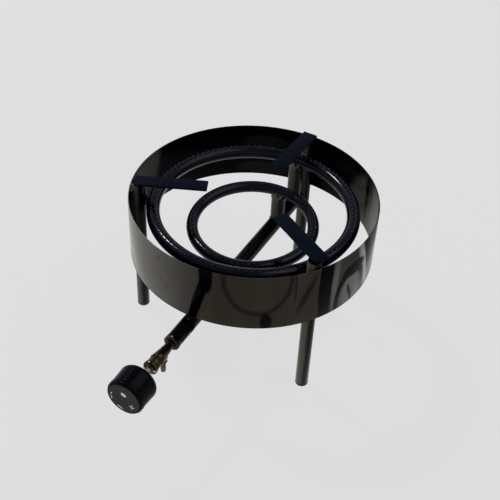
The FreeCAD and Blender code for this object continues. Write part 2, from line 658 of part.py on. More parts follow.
PIECES = {
    "wind_shield": wind_shield, "shield_welds": shield_welds, "ring_welds": ring_welds,
    "outer_burner_ring": outer_ring, "inner_burner_ring": inner_ring,
    "outer_riser": outer_riser, "inner_riser": inner_riser,
    "mixer_pipe": mixer_pipe, "pipe_end_cap": pipe_end_cap,
    "mouth_flange": mouth_flange, "flange_screw": flange_screw,
    "valve_body": valve_body, "injector": injector, "hose_nipple": hose_nipple,
    "bonnet": bonnet, "bonnet_screws": bonnet_screws, "taper_plug": taper_plug,
    "plug_spring": plug_spring, "spindle": spindle, "knob": knob,
    "knob_dial": knob_dial, "knob_clip": knob_clip,
}

os.makedirs("parts", exist_ok=True)
for node, make in PIECES.items():
    save(node, make())
for side in LEG_ANGLES:
    save("leg_" + side, leg(side))
    save("pot_bar_" + side, pot_bar(side))
save("foot_caps", Part.makeCompound([foot_cap(side) for side in LEG_ANGLES]))
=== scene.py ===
"""Looks for the stock pot burner: metres, +Z up, the tap points towards -Y.

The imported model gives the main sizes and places. Each visible piece is modelled again with
rounded edges, drilled ports and weld beads, and gets its own procedural finish.
"""

import bpy
import math

from mathutils import Matrix, Vector


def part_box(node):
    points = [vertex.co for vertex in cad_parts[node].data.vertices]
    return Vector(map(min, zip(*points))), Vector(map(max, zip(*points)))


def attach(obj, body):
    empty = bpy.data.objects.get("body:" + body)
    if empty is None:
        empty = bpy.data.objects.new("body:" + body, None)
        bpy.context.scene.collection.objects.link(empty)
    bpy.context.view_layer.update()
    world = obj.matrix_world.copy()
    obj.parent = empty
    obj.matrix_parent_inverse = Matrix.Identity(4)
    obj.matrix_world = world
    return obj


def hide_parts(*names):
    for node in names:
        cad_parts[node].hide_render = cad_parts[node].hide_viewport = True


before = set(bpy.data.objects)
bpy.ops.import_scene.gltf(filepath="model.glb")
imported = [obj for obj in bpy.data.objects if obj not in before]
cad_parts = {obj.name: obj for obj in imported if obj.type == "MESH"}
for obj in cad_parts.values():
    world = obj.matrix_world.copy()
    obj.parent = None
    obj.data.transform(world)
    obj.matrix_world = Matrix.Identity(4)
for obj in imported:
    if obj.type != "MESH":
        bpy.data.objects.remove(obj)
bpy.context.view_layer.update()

MM = 0.001
FULL_TURN = 2 * math.pi

# ---------------------------------------------------------------- sizes, the main ones from the frame
SHIELD_LOW, SHIELD_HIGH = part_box("wind_shield")
BURNER = Vector(((SHIELD_LOW.x + SHIELD_HIGH.x) / 2, (SHIELD_LOW.y + SHIELD_HIGH.y) / 2, 0))
SHIELD_RADIUS = (SHIELD_HIGH.x - SHIELD_LOW.x) / 2
SHIELD_WALL = 1.5 * MM

RING_LOW, RING_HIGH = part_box("outer_burner_ring")
OUTER_TUBE = RING_HIGH.z - RING_LOW.z
OUTER_RING_RADIUS = (RING_HIGH.x - RING_LOW.x - OUTER_TUBE) / 2
OUTER_RING_HEIGHT = (RING_HIGH.z + RING_LOW.z) / 2
INNER_LOW, INNER_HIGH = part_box("inner_burner_ring")
INNER_TUBE = 19.0 * MM
INNER_RING_RADIUS = (INNER_HIGH.x - INNER_LOW.x - INNER_TUBE) / 2
INNER_RING_HEIGHT = (INNER_HIGH.z + INNER_LOW.z) / 2
INNER_RING_SAG = math.radians(3.0)
OUTER_PORTS = 100
INNER_PORTS = 68
PORT_TILT = math.radians(15.0)
PORT_RADIUS = 0.95 * MM
PORT_DEPTH = 3.0 * MM
PORT_SINK = 0.30 * MM

PIPE_LOW, PIPE_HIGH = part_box("mixer_pipe")
PIPE_RADIUS = (PIPE_HIGH.z - PIPE_LOW.z) / 2
PIPE_HEIGHT = (PIPE_HIGH.z + PIPE_LOW.z) / 2
PIPE_MOUTH = PIPE_LOW.y
PIPE_END = PIPE_HIGH.y
WELD_RADIUS = 1.9 * MM
TUBE_WALL = 1.5 * MM
TUBE_EDGE = 0.4 * MM         # how far cut edges are rounded
SHEET_EDGE = 0.35 * MM
AIR_HOLE_RADIUS = 6.0 * MM
AIR_HOLE_SETBACK = 42.0 * MM

BAR_ANGLES = {"back": 88.0, "left": 204.0, "right": 329.0}
BAR_WIDTH = 25.5 * MM
BAR_INNER = 74.7 * MM
BAR_OUTER = 192.0 * MM
BAR_CORNER = 1.6 * MM
LEG_ANGLES = {"back": 88.0, "left": 204.0, "right": 326.5}

# ---------------------------------------------------------------- camera, solved from the shield's rims
CAMERA_AZIMUTH = math.radians(26.5)
CAMERA_ELEVATION = math.radians(36.936)
CAMERA_DISTANCE = 1.49272
CAMERA_TILT = 0.059631
CAMERA_PAN = -0.001496
CAMERA_ROLL = math.radians(3.0024)
CAMERA_LENS = 67.459
CAMERA_SENSOR = 36.0

# ---------------------------------------------------------------- studio
PALE = (0.745, 0.745, 0.745)
FLOOR_GLOW = 0.92            # share of the floor's own colour that the camera sees
ROOM_TONES = ((0.05, (0.75, 0.75, 0.75)), (0.75, (0.20, 0.22, 0.25)))    # low and overhead


# ---------------------------------------------------------------- modelling helpers
def nothing_selected():
    """Deselect all, because an operator acts on whatever is selected."""
    bpy.ops.object.select_all(action="DESELECT")


def only(piece):
    """Make a piece the only one selected, and the active one."""
    nothing_selected()
    piece.select_set(True)
    bpy.context.view_layer.objects.active = piece


def mode(name):
    """Go into edit mode or back to object mode."""
    bpy.ops.object.mode_set(mode=name)


def settle(piece):
    """Put a piece's place and turn into its mesh."""
    only(piece)
    bpy.ops.object.transform_apply(location=True, rotation=True, scale=True)
    return piece


def change(piece, kind, **settings):
    """Add a modifier and apply it."""
    only(piece)
    modifier = piece.modifiers.new(kind.lower(), kind)
    for key, value in settings.items():
        setattr(modifier, key, value)
    bpy.ops.object.modifier_apply(modifier=modifier.name)
    return piece


def soften(piece, width, angle=50, shading=35, bevel_slot=-1):
    """Round the edges over an angle, then smooth the shading between them."""
    change(piece, "BEVEL", width=width, segments=2, limit_method="ANGLE",
           angle_limit=math.radians(angle), material=bevel_slot)
    return smooth(piece, shading)


def smooth(piece, angle=35):
    """Shade smoothly, except over edges sharper than the angle."""
    only(piece)
    bpy.ops.object.shade_smooth_by_angle(angle=math.radians(angle))
    return piece


def turned(name, outline, sides, hollow=False):
    """Shape turned about Z: a circle drawn out and scaled through (radius, height) points.

    A hollow shape's outline runs along the outside and back through the bore.
    """
    nothing_selected()
    radius, height = outline[0]
    bpy.ops.mesh.primitive_circle_add(vertices=sides, radius=radius, location=(0, 0, height),
                                      fill_type="NOTHING" if hollow else "NGON")
    piece = settle(bpy.context.object)
    piece.name = name
    mode("EDIT")
    bpy.ops.mesh.select_all(action="SELECT")
    points = outline + outline[:1] if hollow else outline
    for (old_radius, old_height), (radius, height) in zip(points, points[1:]):
        bpy.ops.mesh.extrude_region_move(
            TRANSFORM_OT_translate={"value": (0, 0, height - old_height)})
        share = radius / old_radius
        bpy.ops.transform.resize(value=(share, share, 1), center_override=(0, 0, height))
    bpy.ops.mesh.select_all(action="SELECT")
    bpy.ops.mesh.remove_doubles(threshold=1e-6)
    bpy.ops.mesh.normals_make_consistent(inside=False)
    mode("OBJECT")
    return piece


def on_tap_axis(piece):
    """Turn a shape from Z on to the tap's axis: its height becomes the distance towards -Y."""
    piece.rotation_euler = (math.pi / 2, 0, 0)
    piece.location = (0, 0, PIPE_HEIGHT)
    return settle(piece)


def copies(original, places):
    """One object from copies of a piece at the given places. The original is used up."""
    made = []
    for place in places:
        twin = original.copy()
        twin.data = original.data.copy()
        twin.data.transform(place)
        bpy.context.collection.objects.link(twin)
        made.append(twin)
    bpy.data.objects.remove(original)
    return joined(made[0].name, made)


def joined(name, pieces):
    """Join pieces into the first one, under a name."""
    nothing_selected()
    for piece in pieces:
        piece.select_set(True)
    bpy.context.view_layer.objects.active = pieces[0]
    bpy.ops.object.join()
    pieces[0].name = name
    return pieces[0]


def cut(piece, tool):
    """Take a tool's shape out of a piece. The tool's own material stays on the cut faces."""
    change(piece, "BOOLEAN", object=tool, operation="DIFFERENCE", solver="EXACT",
           material_mode="TRANSFER")
    bpy.data.objects.remove(tool)
    return piece


def done(piece, body, nodes, slot, *materials):
    """Give a finished piece its looks and its place in the frame."""
    if len(materials) == 1:
        piece.data.materials.clear()
    for material in materials:
        piece.data.materials.append(material)
    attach(piece, body)
    if nodes:
        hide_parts(*nodes)
    return piece


def over_box(piece, low, high, height=0.0):
    """Move a piece modelled on Z over the middle of a box, and settle it."""
    piece.location = ((low.x + high.x) / 2, (low.y + high.y) / 2, height)
    return settle(piece)


def around(angle, radius=0.0, height=0.0):
    """Place at a clock angle about the burner's axis."""
    return (Matrix.Translation(BURNER) @ Matrix.Rotation(math.radians(angle), 4, "Z")
            @ Matrix.Translation((radius, 0, height)))


# ---------------------------------------------------------------- pattern groups
PAINTED_SHEEN_FACING = (-0.64, -0.77, 0.0)   # the way that the painted sheen, a lighter brown side of the tubes, faces
SHIELD_FRONT = -64                   # clock angles that the marks on the shield are set out from
SHIELD_BACK = 116


def group(name, values, result="Mask", kind="Float"):
    """Empty node group that takes a place and named values, and puts out one result."""
    tree = bpy.data.node_groups.new(name, "ShaderNodeTree")
    tree.interface.new_socket("Place", in_out="INPUT", socket_type="NodeSocketVector")
    for label, value in values.items():
        value_kind = "NodeSocketVector" if isinstance(value, tuple) else "NodeSocketFloat"
        socket = tree.interface.new_socket(label, in_out="INPUT", socket_type=value_kind)
        socket.default_value = value
    tree.interface.new_socket(result, in_out="OUTPUT", socket_type="NodeSocket" + kind)
    return tree, tree.nodes.new("NodeGroupInput").outputs, tree.nodes.new("NodeGroupOutput").inputs


def feed(tree, source, socket):
    """Give an input a link from another socket, or a plain value."""
    if isinstance(source, bpy.types.NodeSocket):
        tree.links.new(source, socket)
    else:
        socket.default_value = source


def node(tree, kind, sources=(), **settings):
    """Node with settings, fed from (socket or value, input name) pairs."""
    made = tree.nodes.new("ShaderNode" + kind)
    for key, value in settings.items():
        if key in made.inputs:
            made.inputs[key].default_value = value
        else:
            setattr(made, key, value)
    for source, target in sources:
        feed(tree, source, made.inputs[target])
    return made


def maths(tree, operation, *sources, kind="Math"):
    """First outcome of a Math or VectorMath node, fed in order."""
    made = node(tree, kind, [(source, k) for k, source in enumerate(sources)], operation=operation)
    return made.outputs[0]


def waves(tree, place, scale, **settings):
    """Cloudy noise over a place."""
    return node(tree, "TexNoise", [(place, "Vector"), (scale, "Scale")], **settings).outputs["Fac"]


def eased(tree, value, low, high):
    """0 to 1 as a value goes from low to high, eased at both ends."""
    return node(tree, "MapRange", [(value, "Value"), (low, "From Min"), (high, "From Max")],
                interpolation_type="SMOOTHSTEP").outputs["Result"]


def patches_group():
    """Soft-edged patches: 0 outside, 1 inside, covering about the given share."""
    tree, start, end = group("patches", {"Scale": 20.0, "Cover": 0.5, "Edge": 0.1})
    cloud = waves(tree, start["Place"], start["Scale"], Detail=5.0, Roughness=0.6)
    level = maths(tree, "SUBTRACT", 1.0, start["Cover"])
    low = maths(tree, "SUBTRACT", level, start["Edge"])
    high = maths(tree, "ADD", level, start["Edge"])
    feed(tree, eased(tree, cloud, low, high), end["Mask"])
    return tree


def specks_group():
    """Small round specks of dust or chipping, one in some of the cells."""
    tree, start, end = group("specks", {"Scale": 400.0, "Share": 0.1})
    cells = node(tree, "TexVoronoi", [(start["Place"], "Vector"), (start["Scale"], "Scale")])
    tone = node(tree, "SeparateColor", [(cells.outputs["Color"], "Color")])
    chosen = maths(tree, "LESS_THAN", tone.outputs["Red"], start["Share"])
    near = eased(tree, cells.outputs["Distance"], 0.35, 0.15)
    feed(tree, maths(tree, "MULTIPLY", chosen, near), end["Mask"])
    return tree


def skin_group():
    """Surface relief from fine and broad waves, as a normal."""
    tree, start, end = group("skin", {"Fine scale": 500.0, "Fine depth": 0.1,
                                      "Broad scale": 30.0, "Broad depth": 0.1},
                             result="Normal", kind="Vector")
    fine = waves(tree, start["Place"], start["Fine scale"], Detail=3.0)
    broad = waves(tree, start["Place"], start["Broad scale"], Detail=2.0)
    swell = node(tree, "Bump", [(broad, "Height"), (start["Broad depth"], "Strength")],
                 Distance=1 * MM)
    skin = node(tree, "Bump", [(fine, "Height"), (start["Fine depth"], "Strength"),
                               (swell.outputs["Normal"], "Normal")], Distance=0.2 * MM)
    feed(tree, skin.outputs["Normal"], end["Normal"])
    return tree


def streak_group():
    """Soft oval band on a chart: 1 between the inner share of an oval and its edge."""
    tree, start, end = group("streak", {
        "Centre": (0, 0, 0), "Size": (1, 1, 1), "Lean": 0.0, "Inner": -1.0, "Soft": 0.2,
        "Wander": 0.006})
    noise = node(tree, "TexNoise", [(start["Place"], "Vector")], Scale=22.0, Detail=1.0)
    level = maths(tree, "SUBTRACT", noise.outputs["Color"], (0.5, 0.5, 0.5), kind="VectorMath")
    drift = node(tree, "VectorMath", [(level, 0), (start["Wander"], "Scale")], operation="SCALE")
    moved = maths(tree, "ADD", start["Place"], drift.outputs[0], kind="VectorMath")
    offset = maths(tree, "SUBTRACT", moved, start["Centre"], kind="VectorMath")
    parts = node(tree, "SeparateXYZ", [(offset, "Vector")]).outputs
    across = maths(tree, "MULTIPLY_ADD", parts["Y"], start["Lean"], parts["X"])
    upright = node(tree, "CombineXYZ", [(across, "X"), (parts["Y"], "Y")]).outputs[0]
    share = maths(tree, "DIVIDE", upright, start["Size"], kind="VectorMath")
    reach = node(tree, "VectorMath", [(share, 0)], operation="LENGTH").outputs["Value"]
    edges = []
    for rim, sign in ((1.0, 1), (start["Inner"], -1)):
        low, high = [maths(tree, "MULTIPLY_ADD", start["Soft"], side * sign, rim)
                     for side in (1, -1)]
        edges.append(eased(tree, reach, low, high))
    feed(tree, maths(tree, "MULTIPLY", *edges), end["Mask"])
    return tree


def painted_sheen_group():
    """Side of an upright tube painted duller and lighter brown, a painted sheen: 1 where the surface
    faces it.
    """
    tree, start, end = group("painted_sheen", {"Scale": 30.0})
    normal = node(tree, "TexCoord").outputs["Normal"]
    facing = node(tree, "VectorMath", [(normal, 0), (PAINTED_SHEEN_FACING, 1)], operation="DOT_PRODUCT")
    cloud = waves(tree, start["Place"], start["Scale"], Detail=2.0)
    level = maths(tree, "MULTIPLY_ADD", cloud, 0.5, facing.outputs["Value"])
    feed(tree, eased(tree, level, 0.42, 0.98), end["Mask"])
    return tree


PATCHES = patches_group()
PAINTED_SHEEN = painted_sheen_group()
STREAK = streak_group()
SPECKS = specks_group()
SKIN = skin_group()


class Finish:
    """A material built from a base coat and layers that masks lay over it."""

    def __init__(self, name, color, roughness, stretch=(1, 1, 1), **sockets):
        self.material = bpy.data.materials.new(name)
        self.material.use_nodes = True
        self.tree = self.material.node_tree
        self.shader = self.tree.nodes["Principled BSDF"]
        for socket, value in sockets.items():
            self.shader.inputs[socket.replace("_", " ")].default_value = value
        place = node(self.tree, "TexCoord").outputs["Object"]
        self.place = node(self.tree, "Mapping", [(place, "Vector")], Scale=stretch).outputs[0]
        self.color = (*color, 1)
        self.rough = roughness
        self.material.diffuse_color = self.color

    def mask(self, pattern, place=None, **values):
        """Outcome of a pattern group with its own values."""
        used = node(self.tree, "Group", node_tree=pattern)
        self.tree.links.new(place or self.place, used.inputs["Place"])
        for label, value in values.items():
            used.inputs[label.replace("_", " ")].default_value = value
        return used.outputs[0]

    def layer(self, mask, color, roughness=None):
        """Lay a colour, and a roughness if given, over what is there, where the mask is 1."""
        mix = node(self.tree, "Mix", [(mask, "Factor"), (self.color, 6), ((*color, 1), 7)],
                   data_type="RGBA")
        self.color = mix.outputs[2]
        if roughness is not None:
            mix = node(self.tree, "Mix", [(mask, "Factor"), (self.rough, 2), (roughness, 3)],
                       data_type="FLOAT")
            self.rough = mix.outputs[0]

    def patches(self, color, roughness, **values):
        self.layer(self.mask(PATCHES, **values), color, roughness)

    def specks(self, color, roughness, **values):
        self.layer(self.mask(SPECKS, **values), color, roughness)

    def finished(self, **skin):
        """The material, with its layers and a skin of fine and broad waves."""
        feed(self.tree, self.color, self.shader.inputs["Base Color"])
        feed(self.tree, self.rough, self.shader.inputs["Roughness"])
        feed(self.tree, self.mask(SKIN, **skin), self.shader.inputs["Normal"])
        return self.material


# ---------------------------------------------------------------- finishes
def band_chart(coat, middle):
    """Coordinates on the shield: metres along the band from a middle angle, and height."""
    place = node(coat.tree, "TexCoord").outputs["Object"]
    turned_place = node(coat.tree, "Mapping", [(place, "Vector")], vector_type="TEXTURE",
                        Location=BURNER, Rotation=(0, 0, math.radians(middle)))
    parts = node(coat.tree, "SeparateXYZ", [(turned_place.outputs[0], "Vector")]).outputs
    angle = maths(coat.tree, "ARCTAN2", parts["Y"], parts["X"])
    along = maths(coat.tree, "MULTIPLY", angle, SHIELD_RADIUS)
    return node(coat.tree, "CombineXYZ", [(along, "X"), (parts["Z"], "Y")]).outputs[0]


def band_marks(coat, middle, marks, wander):
    """Oval marks on the shield: angle, height, half sizes in mm, lean, inner rim, edge, colour."""
    chart = band_chart(coat, middle)
    for angle, height, across, up, lean, inner, soft, tone in marks:
        centre = (math.radians(angle - middle) * SHIELD_RADIUS, height * MM, 0)
        coat.layer(coat.mask(STREAK, chart, Centre=centre, Size=(across * MM, up * MM, 1),
                             Lean=lean, Inner=inner, Soft=soft, Wander=wander), tone)


def shield_enamel():
    """Glossy brown-black enamel outside, with painted reflection: a greyer side and dark curls."""
    # painted reflection: the brown base is lifted well above the enamel's black, standing in for the
    # surroundings that the low specular leaves out
    coat = Finish("shield_enamel", (0.040, 0.0335, 0.0255), 0.10, stretch=(1, 1, 0.25),
                  Specular_IOR_Level=0.02, Specular_Tint=(1.0, 0.86, 0.70, 1))
    coat.patches((0.049, 0.041, 0.032), 0.13, Scale=26.0, Cover=0.45, Edge=0.12)
    # painted reflection: the grey and pale tones light up one side of the band and lay pale streaks on
    # the other, for light mirrored in the enamel
    grey, pale = (0.20, 0.19, 0.165), (0.12, 0.12, 0.115)
    mirrored_brown, mirrored_navy = (0.016, 0.0125, 0.0100), (0.0008, 0.0010, 0.0026)
    band_marks(coat, SHIELD_FRONT, (
        (-140, 205, 140, 400, 0, -1, 0.6, grey),
        (-150, 205, 80, 400, 0, -1, 0.5, (0.36, 0.34, 0.30)),
        (-23.5, 205, 6, 55, 0, -1, 0.6, pale),
        (-9, 248, 26, 18, 0, -1, 0.6, (0.030, 0.030, 0.034)),
        (-12.5, 180, 24, 44, 0, -1, 0.4, (0.15, 0.14, 0.125)),
        (-2, 200, 9, 60, 0.33, -1, 0.6, (0.36, 0.35, 0.32))), wander=0.004)
    # painted reflection: the brown arcs and the dark navy curls and bands stand for dark shapes
    # mirrored in the enamel, the mixer pipe among them
    band_marks(coat, SHIELD_FRONT, (
        (-60, 255, 54, 74, 0, 0.88, 0.06, mirrored_brown), (-43.7, 238, 1.6, 40, 0, -1, 0.5, mirrored_brown),
        (-38, 216, 6, 34, -0.4, -1, 0.5, mirrored_brown),
        (-56, 170, 9, 17, 0, -1, 0.3, mirrored_navy), (-82.3, 252, 11.5, 38, 0, -1, 0.15, mirrored_navy),
        (-86.2, 192, 8.5, 72, -0.22, -1, 0.15, mirrored_navy), (-29, 214, 12, 120, 0, -1, 0.15, mirrored_navy),
        (-12.5, 165, 38, 68, 0, 0.74, 0.05, mirrored_navy), (-11.5, 222, 27, 13, 0, -1, 0.2, mirrored_navy),
        (1.3, 216, 9.5, 66, 0.33, -1, 0.15, mirrored_navy), (-13.2, 174, 4, 22, 0.3, -1, 0.2, mirrored_navy)),
        wander=0.006)
    coat.specks((0.04, 0.036, 0.03), 0.4, Scale=260.0, Share=0.01)
    return coat.finished(Fine_scale=420.0, Fine_depth=0.03, Broad_scale=9.0, Broad_depth=0.30)


def shield_inside():
    """Near-black inside of the band, with grey and brown patches and painted reflection streaks."""
    coat = Finish("shield_inside", (0.0007, 0.0007, 0.0009), 0.2, Specular_IOR_Level=0.02)
    grey = (0.050, 0.048, 0.040)
    # painted reflection: the pale and dark streaks set out near 30 to 46 degrees stand for the
    # surroundings mirrored on the inner wall
    band_marks(coat, SHIELD_BACK, (
        (183, 240, 38, 48, 0, -1, 0.25, grey),
        (112, 226, 40, 13, 0, -1, 0.25, (0.011, 0.0100, 0.0090)),
        (112, 170, 48, 12, 0, -1, 0.3, (0.016, 0.014, 0.011)),
        (168, 220, 11, 30, 0, -1, 0.5, (0.0012, 0.0020, 0.0050)),
        (46, 198, 52, 62, 0.35, -1, 0.22, grey),
        (30, 208, 32, 52, 0, -1, 0.4, (0.15, 0.135, 0.11)),
        (44, 252, 16, 26, 0, -1, 0.5, (0.008, 0.010, 0.018)),
        (45, 205, 5.5, 75, 0, -1, 0.4, (0.0008, 0.0009, 0.0014))), wander=0.012)
    coat.specks((0.02, 0.018, 0.016), 0.6, Scale=260.0, Share=0.02)
    return coat.finished(Fine_scale=420.0, Fine_depth=0.05, Broad_scale=9.0, Broad_depth=0.35)


def ring_enamel():
    """Deep blue-black enamel on the burner rings, dusty on top."""
    coat = Finish("ring_enamel", (0.0016, 0.0025, 0.0064), 0.13, Specular_IOR_Level=0.16)
    coat.patches((0.0028, 0.0042, 0.0096), 0.18, Scale=38.0, Cover=0.46, Edge=0.10)
    coat.specks((0.03, 0.03, 0.033), 0.5, Scale=520.0, Share=0.015)
    return coat.finished(Fine_scale=600.0, Fine_depth=0.004, Broad_scale=45.0, Broad_depth=0.012)


def tube_enamel():
    """Black enamel on the pipe, risers and legs, with runs, rubbed places and a painted sheen on one
    side.
    """
    coat = Finish("tube_enamel", (0.0022, 0.0020, 0.0026), 0.07, stretch=(1, 1, 0.3),
                  Specular_IOR_Level=0.08, Specular_Tint=(1.0, 0.88, 0.74, 1))
    # painted sheen: the side of the tubes that faces one fixed way is painted lighter brown-grey, for
    # the light and reflection that fall there
    coat.layer(coat.mask(PAINTED_SHEEN, Scale=30.0), (0.105, 0.094, 0.074), 0.16)
    coat.patches((0.012, 0.0105, 0.0095), 0.12, Scale=55.0, Cover=0.30, Edge=0.09)
    coat.specks((0.05, 0.045, 0.04), 0.5, Scale=420.0, Share=0.02)
    return coat.finished(Fine_scale=520.0, Fine_depth=0.04, Broad_scale=40.0, Broad_depth=0.12)


def bar_paint():
    """Satin blue-black heat-proof paint on flat bar."""
    coat = Finish("bar_paint", (0.0021, 0.0046, 0.0105), 0.5, Specular_IOR_Level=0.02)
    coat.patches((0.0026, 0.0056, 0.0120), 0.56, Scale=60.0, Cover=0.45, Edge=0.12)
    coat.specks((0.02, 0.025, 0.03), 0.6, Scale=600.0, Share=0.03)
    return coat.finished(Fine_scale=900.0, Fine_depth=0.22, Broad_scale=60.0, Broad_depth=0.06)


def rubbed_edge():
    """Where the paint has worn through to grey steel along an edge."""
    coat = Finish("rubbed_edge", (0.10, 0.11, 0.12), 0.42, Metallic=0.6)
    coat.patches((0.006, 0.009, 0.014), 0.5, Scale=150.0, Cover=0.5, Edge=0.08)
    return coat.finished(Fine_scale=900.0, Fine_depth=0.2)


def port_steel():
    """Bright drilled steel at the mouth of a port."""
    coat = Finish("port_steel", (0.17, 0.18, 0.20), 0.55, Metallic=1.0)
    coat.patches((0.08, 0.085, 0.095), 0.6, Scale=60.0, Cover=0.40, Edge=0.1)
    return coat.finished(Fine_scale=900.0, Fine_depth=0.3)


def port_soot():
    """Sooty inside of a port."""
    coat = Finish("port_soot", (0.004, 0.004, 0.004), 0.8)
    coat.patches((0.012, 0.011, 0.010), 0.9, Scale=500.0, Cover=0.4, Edge=0.1)
    return coat.finished(Fine_scale=900.0, Fine_depth=0.3)


def weld_enamel():
    """Enamel over a lumpy weld, burnt brown in places."""
    coat = Finish("weld_enamel", (0.010, 0.010, 0.013), 0.16)
    coat.patches((0.035, 0.030, 0.026), 0.3, Scale=220.0, Cover=0.46, Edge=0.08)
    coat.specks((0.16, 0.16, 0.15), 0.5, Scale=700.0, Share=0.2)
    return coat.finished(Fine_scale=700.0, Fine_depth=0.6, Broad_scale=260.0, Broad_depth=0.5)


def brass():
    """Turned brass, dull and brown where it isn't handled."""
    coat = Finish("tap_brass", (0.085, 0.066, 0.034), 0.20, Metallic=1.0)
    coat.patches((0.024, 0.018, 0.011), 0.26, Scale=70.0, Cover=0.50, Edge=0.12)
    coat.patches((0.012, 0.009, 0.006), 0.34, Scale=420.0, Cover=0.30, Edge=0.08)
    return coat.finished(Fine_scale=1500.0, Fine_depth=0.08, Broad_scale=120.0, Broad_depth=0.08)


def steel(name="screw_steel", color=(0.55, 0.53, 0.50), tarnish=(0.22, 0.19, 0.17)):
    """Plated steel of the screws and the spindle."""
    coat = Finish(name, color, 0.24, Metallic=1.0)
    coat.patches(tarnish, 0.42, Scale=260.0, Cover=0.42, Edge=0.08)
    return coat.finished(Fine_scale=1400.0, Fine_depth=0.15)


def knob_plastic():
    """Black moulded plastic with a faint blue sheen."""
    coat = Finish("knob_plastic", (0.0008, 0.0010, 0.0024), 0.15, Specular_IOR_Level=0.05)
    coat.patches((0.0013, 0.0017, 0.0038), 0.20, Scale=70.0, Cover=0.45, Edge=0.12)
    coat.specks((0.012, 0.012, 0.014), 0.5, Scale=900.0, Share=0.02)
    return coat.finished(Fine_scale=1600.0, Fine_depth=0.10)


def dial_face():
    """Dark grey print on the knob's disc."""
    coat = Finish("dial_face", (0.040, 0.041, 0.035), 0.55, Specular_IOR_Level=0.06)
    coat.patches((0.048, 0.049, 0.042), 0.6, Scale=160.0, Cover=0.5, Edge=0.14)
    coat.specks((0.08, 0.08, 0.075), 0.6, Scale=1100.0, Share=0.06)
    return coat.finished(Fine_scale=1800.0, Fine_depth=0.3)


def mark_print():
    """Pale ink of the marks."""
    coat = Finish("mark_print", (0.80, 0.80, 0.78), 0.55)
    coat.patches((0.55, 0.55, 0.53), 0.6, Scale=900.0, Cover=0.35, Edge=0.08)
    return coat.finished(Fine_scale=1800.0, Fine_depth=0.2)


def foot_rubber():
    """Black foot plugs, scuffed underneath."""
    coat = Finish("foot_rubber", (0.007, 0.007, 0.008), 0.45)
    coat.patches((0.016, 0.015, 0.014), 0.6, Scale=160.0, Cover=0.42, Edge=0.1)
    return coat.finished(Fine_scale=1200.0, Fine_depth=0.3)


SHIELD_ENAMEL = shield_enamel()
SHIELD_INSIDE = shield_inside()
RING_ENAMEL = ring_enamel()
TUBE_ENAMEL = tube_enamel()
BAR_PAINT = bar_paint()
RUBBED_EDGE = rubbed_edge()
PORT_STEEL = port_steel()
PORT_SOOT = port_soot()
WELD_ENAMEL = weld_enamel()
BRASS = brass()
STEEL = steel()
SPINDLE_STEEL = steel("spindle_steel", (0.56, 0.46, 0.42), (0.30, 0.22, 0.19))
KNOB_PLASTIC = knob_plastic()
DIAL_FACE = dial_face()
MARK_PRINT = mark_print()
FOOT_RUBBER = foot_rubber()


# ---------------------------------------------------------------- stand
def shield():
    """Rolled band, its cut edges slightly rounded."""
    inside = SHIELD_RADIUS - SHIELD_WALL
    band = turned("shield_band", [
        (SHIELD_RADIUS, SHIELD_LOW.z), (SHIELD_RADIUS, SHIELD_HIGH.z),
        (inside, SHIELD_HIGH.z), (inside, SHIELD_LOW.z)], sides=240, hollow=True)
    band.location = BURNER
    soften(settle(band), SHEET_EDGE)
    for face in band.data.polygons:
        out = face.center - BURNER
        face.material_index = 1 if face.normal.x * out.x + face.normal.y * out.y < 0 else 0
    done(band, "stand", ["wind_shield"], "shield_enamel", SHIELD_ENAMEL, SHIELD_INSIDE)


def leg(side):
    """Round tube from its foot plug up to the pot bar."""
    low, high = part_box("leg_" + side)
    radius = (high.x - low.x) / 2
    bore = radius - TUBE_WALL
    tube = turned("leg_tube_" + side, [
        (radius, low.z), (radius, high.z), (bore, high.z), (bore, low.z)], sides=48, hollow=True)
    soften(over_box(tube, low, high), TUBE_EDGE)
    done(tube, "stand", ["leg_" + side], "leg_enamel", TUBE_ENAMEL)


def feet():
    """Three moulded plugs with a well rounded pad."""
    edge = 2.6 * MM
    play = 0.1 * MM
    shank_length = 14 * MM
    plugs = []
    for side in LEG_ANGLES:
        low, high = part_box("leg_" + side)
        radius = (high.x - low.x) / 2
        pad = [(radius - edge + edge * math.sin(t), edge - edge * math.cos(t))
               for t in (k * math.pi / 8 for k in range(5))]
        shank = radius - TUBE_WALL - play
        plug = turned("foot_plug_" + side, pad + [
            (radius, low.z), (shank, low.z), (shank, low.z + shank_length)], sides=48)
        plugs.append(over_box(plug, low, high))
    caps = smooth(joined("foot_plugs", plugs), 40)
    done(caps, "stand", ["foot_caps"], "foot_plastic", FOOT_RUBBER)


def pot_bar(side):
    """Sheared flat bar with eased corners and edges that have lost their paint."""
    low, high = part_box("pot_bar_" + side)
    thickness = high.z - low.z
    nothing_selected()
    bpy.ops.mesh.primitive_cube_add(size=1, location=((BAR_INNER + BAR_OUTER) / 2, 0, 0))
    bar = bpy.context.object
    bar.name = "pot_bar_plate_" + side
    bar.scale = (BAR_OUTER - BAR_INNER, BAR_WIDTH, thickness)
    settle(bar)
    mode("EDIT")
    bpy.ops.mesh.select_all(action="DESELECT")
    mode("OBJECT")
    for edge in bar.data.edges:
        first, second = [bar.data.vertices[v].co for v in edge.vertices]
        edge.select = abs(first.z - second.z) > thickness / 2       # the four upright ones
    mode("EDIT")
    bpy.ops.mesh.bevel(offset=BAR_CORNER, segments=3)
    mode("OBJECT")
    bar.data.materials.append(BAR_PAINT)
    bar.data.materials.append(RUBBED_EDGE)
    bar.data.transform(around(BAR_ANGLES[side], 0, (low.z + high.z) / 2))
    soften(bar, SHEET_EDGE, bevel_slot=1)
    done(bar, "stand", ["pot_bar_" + side], "bar_paint")


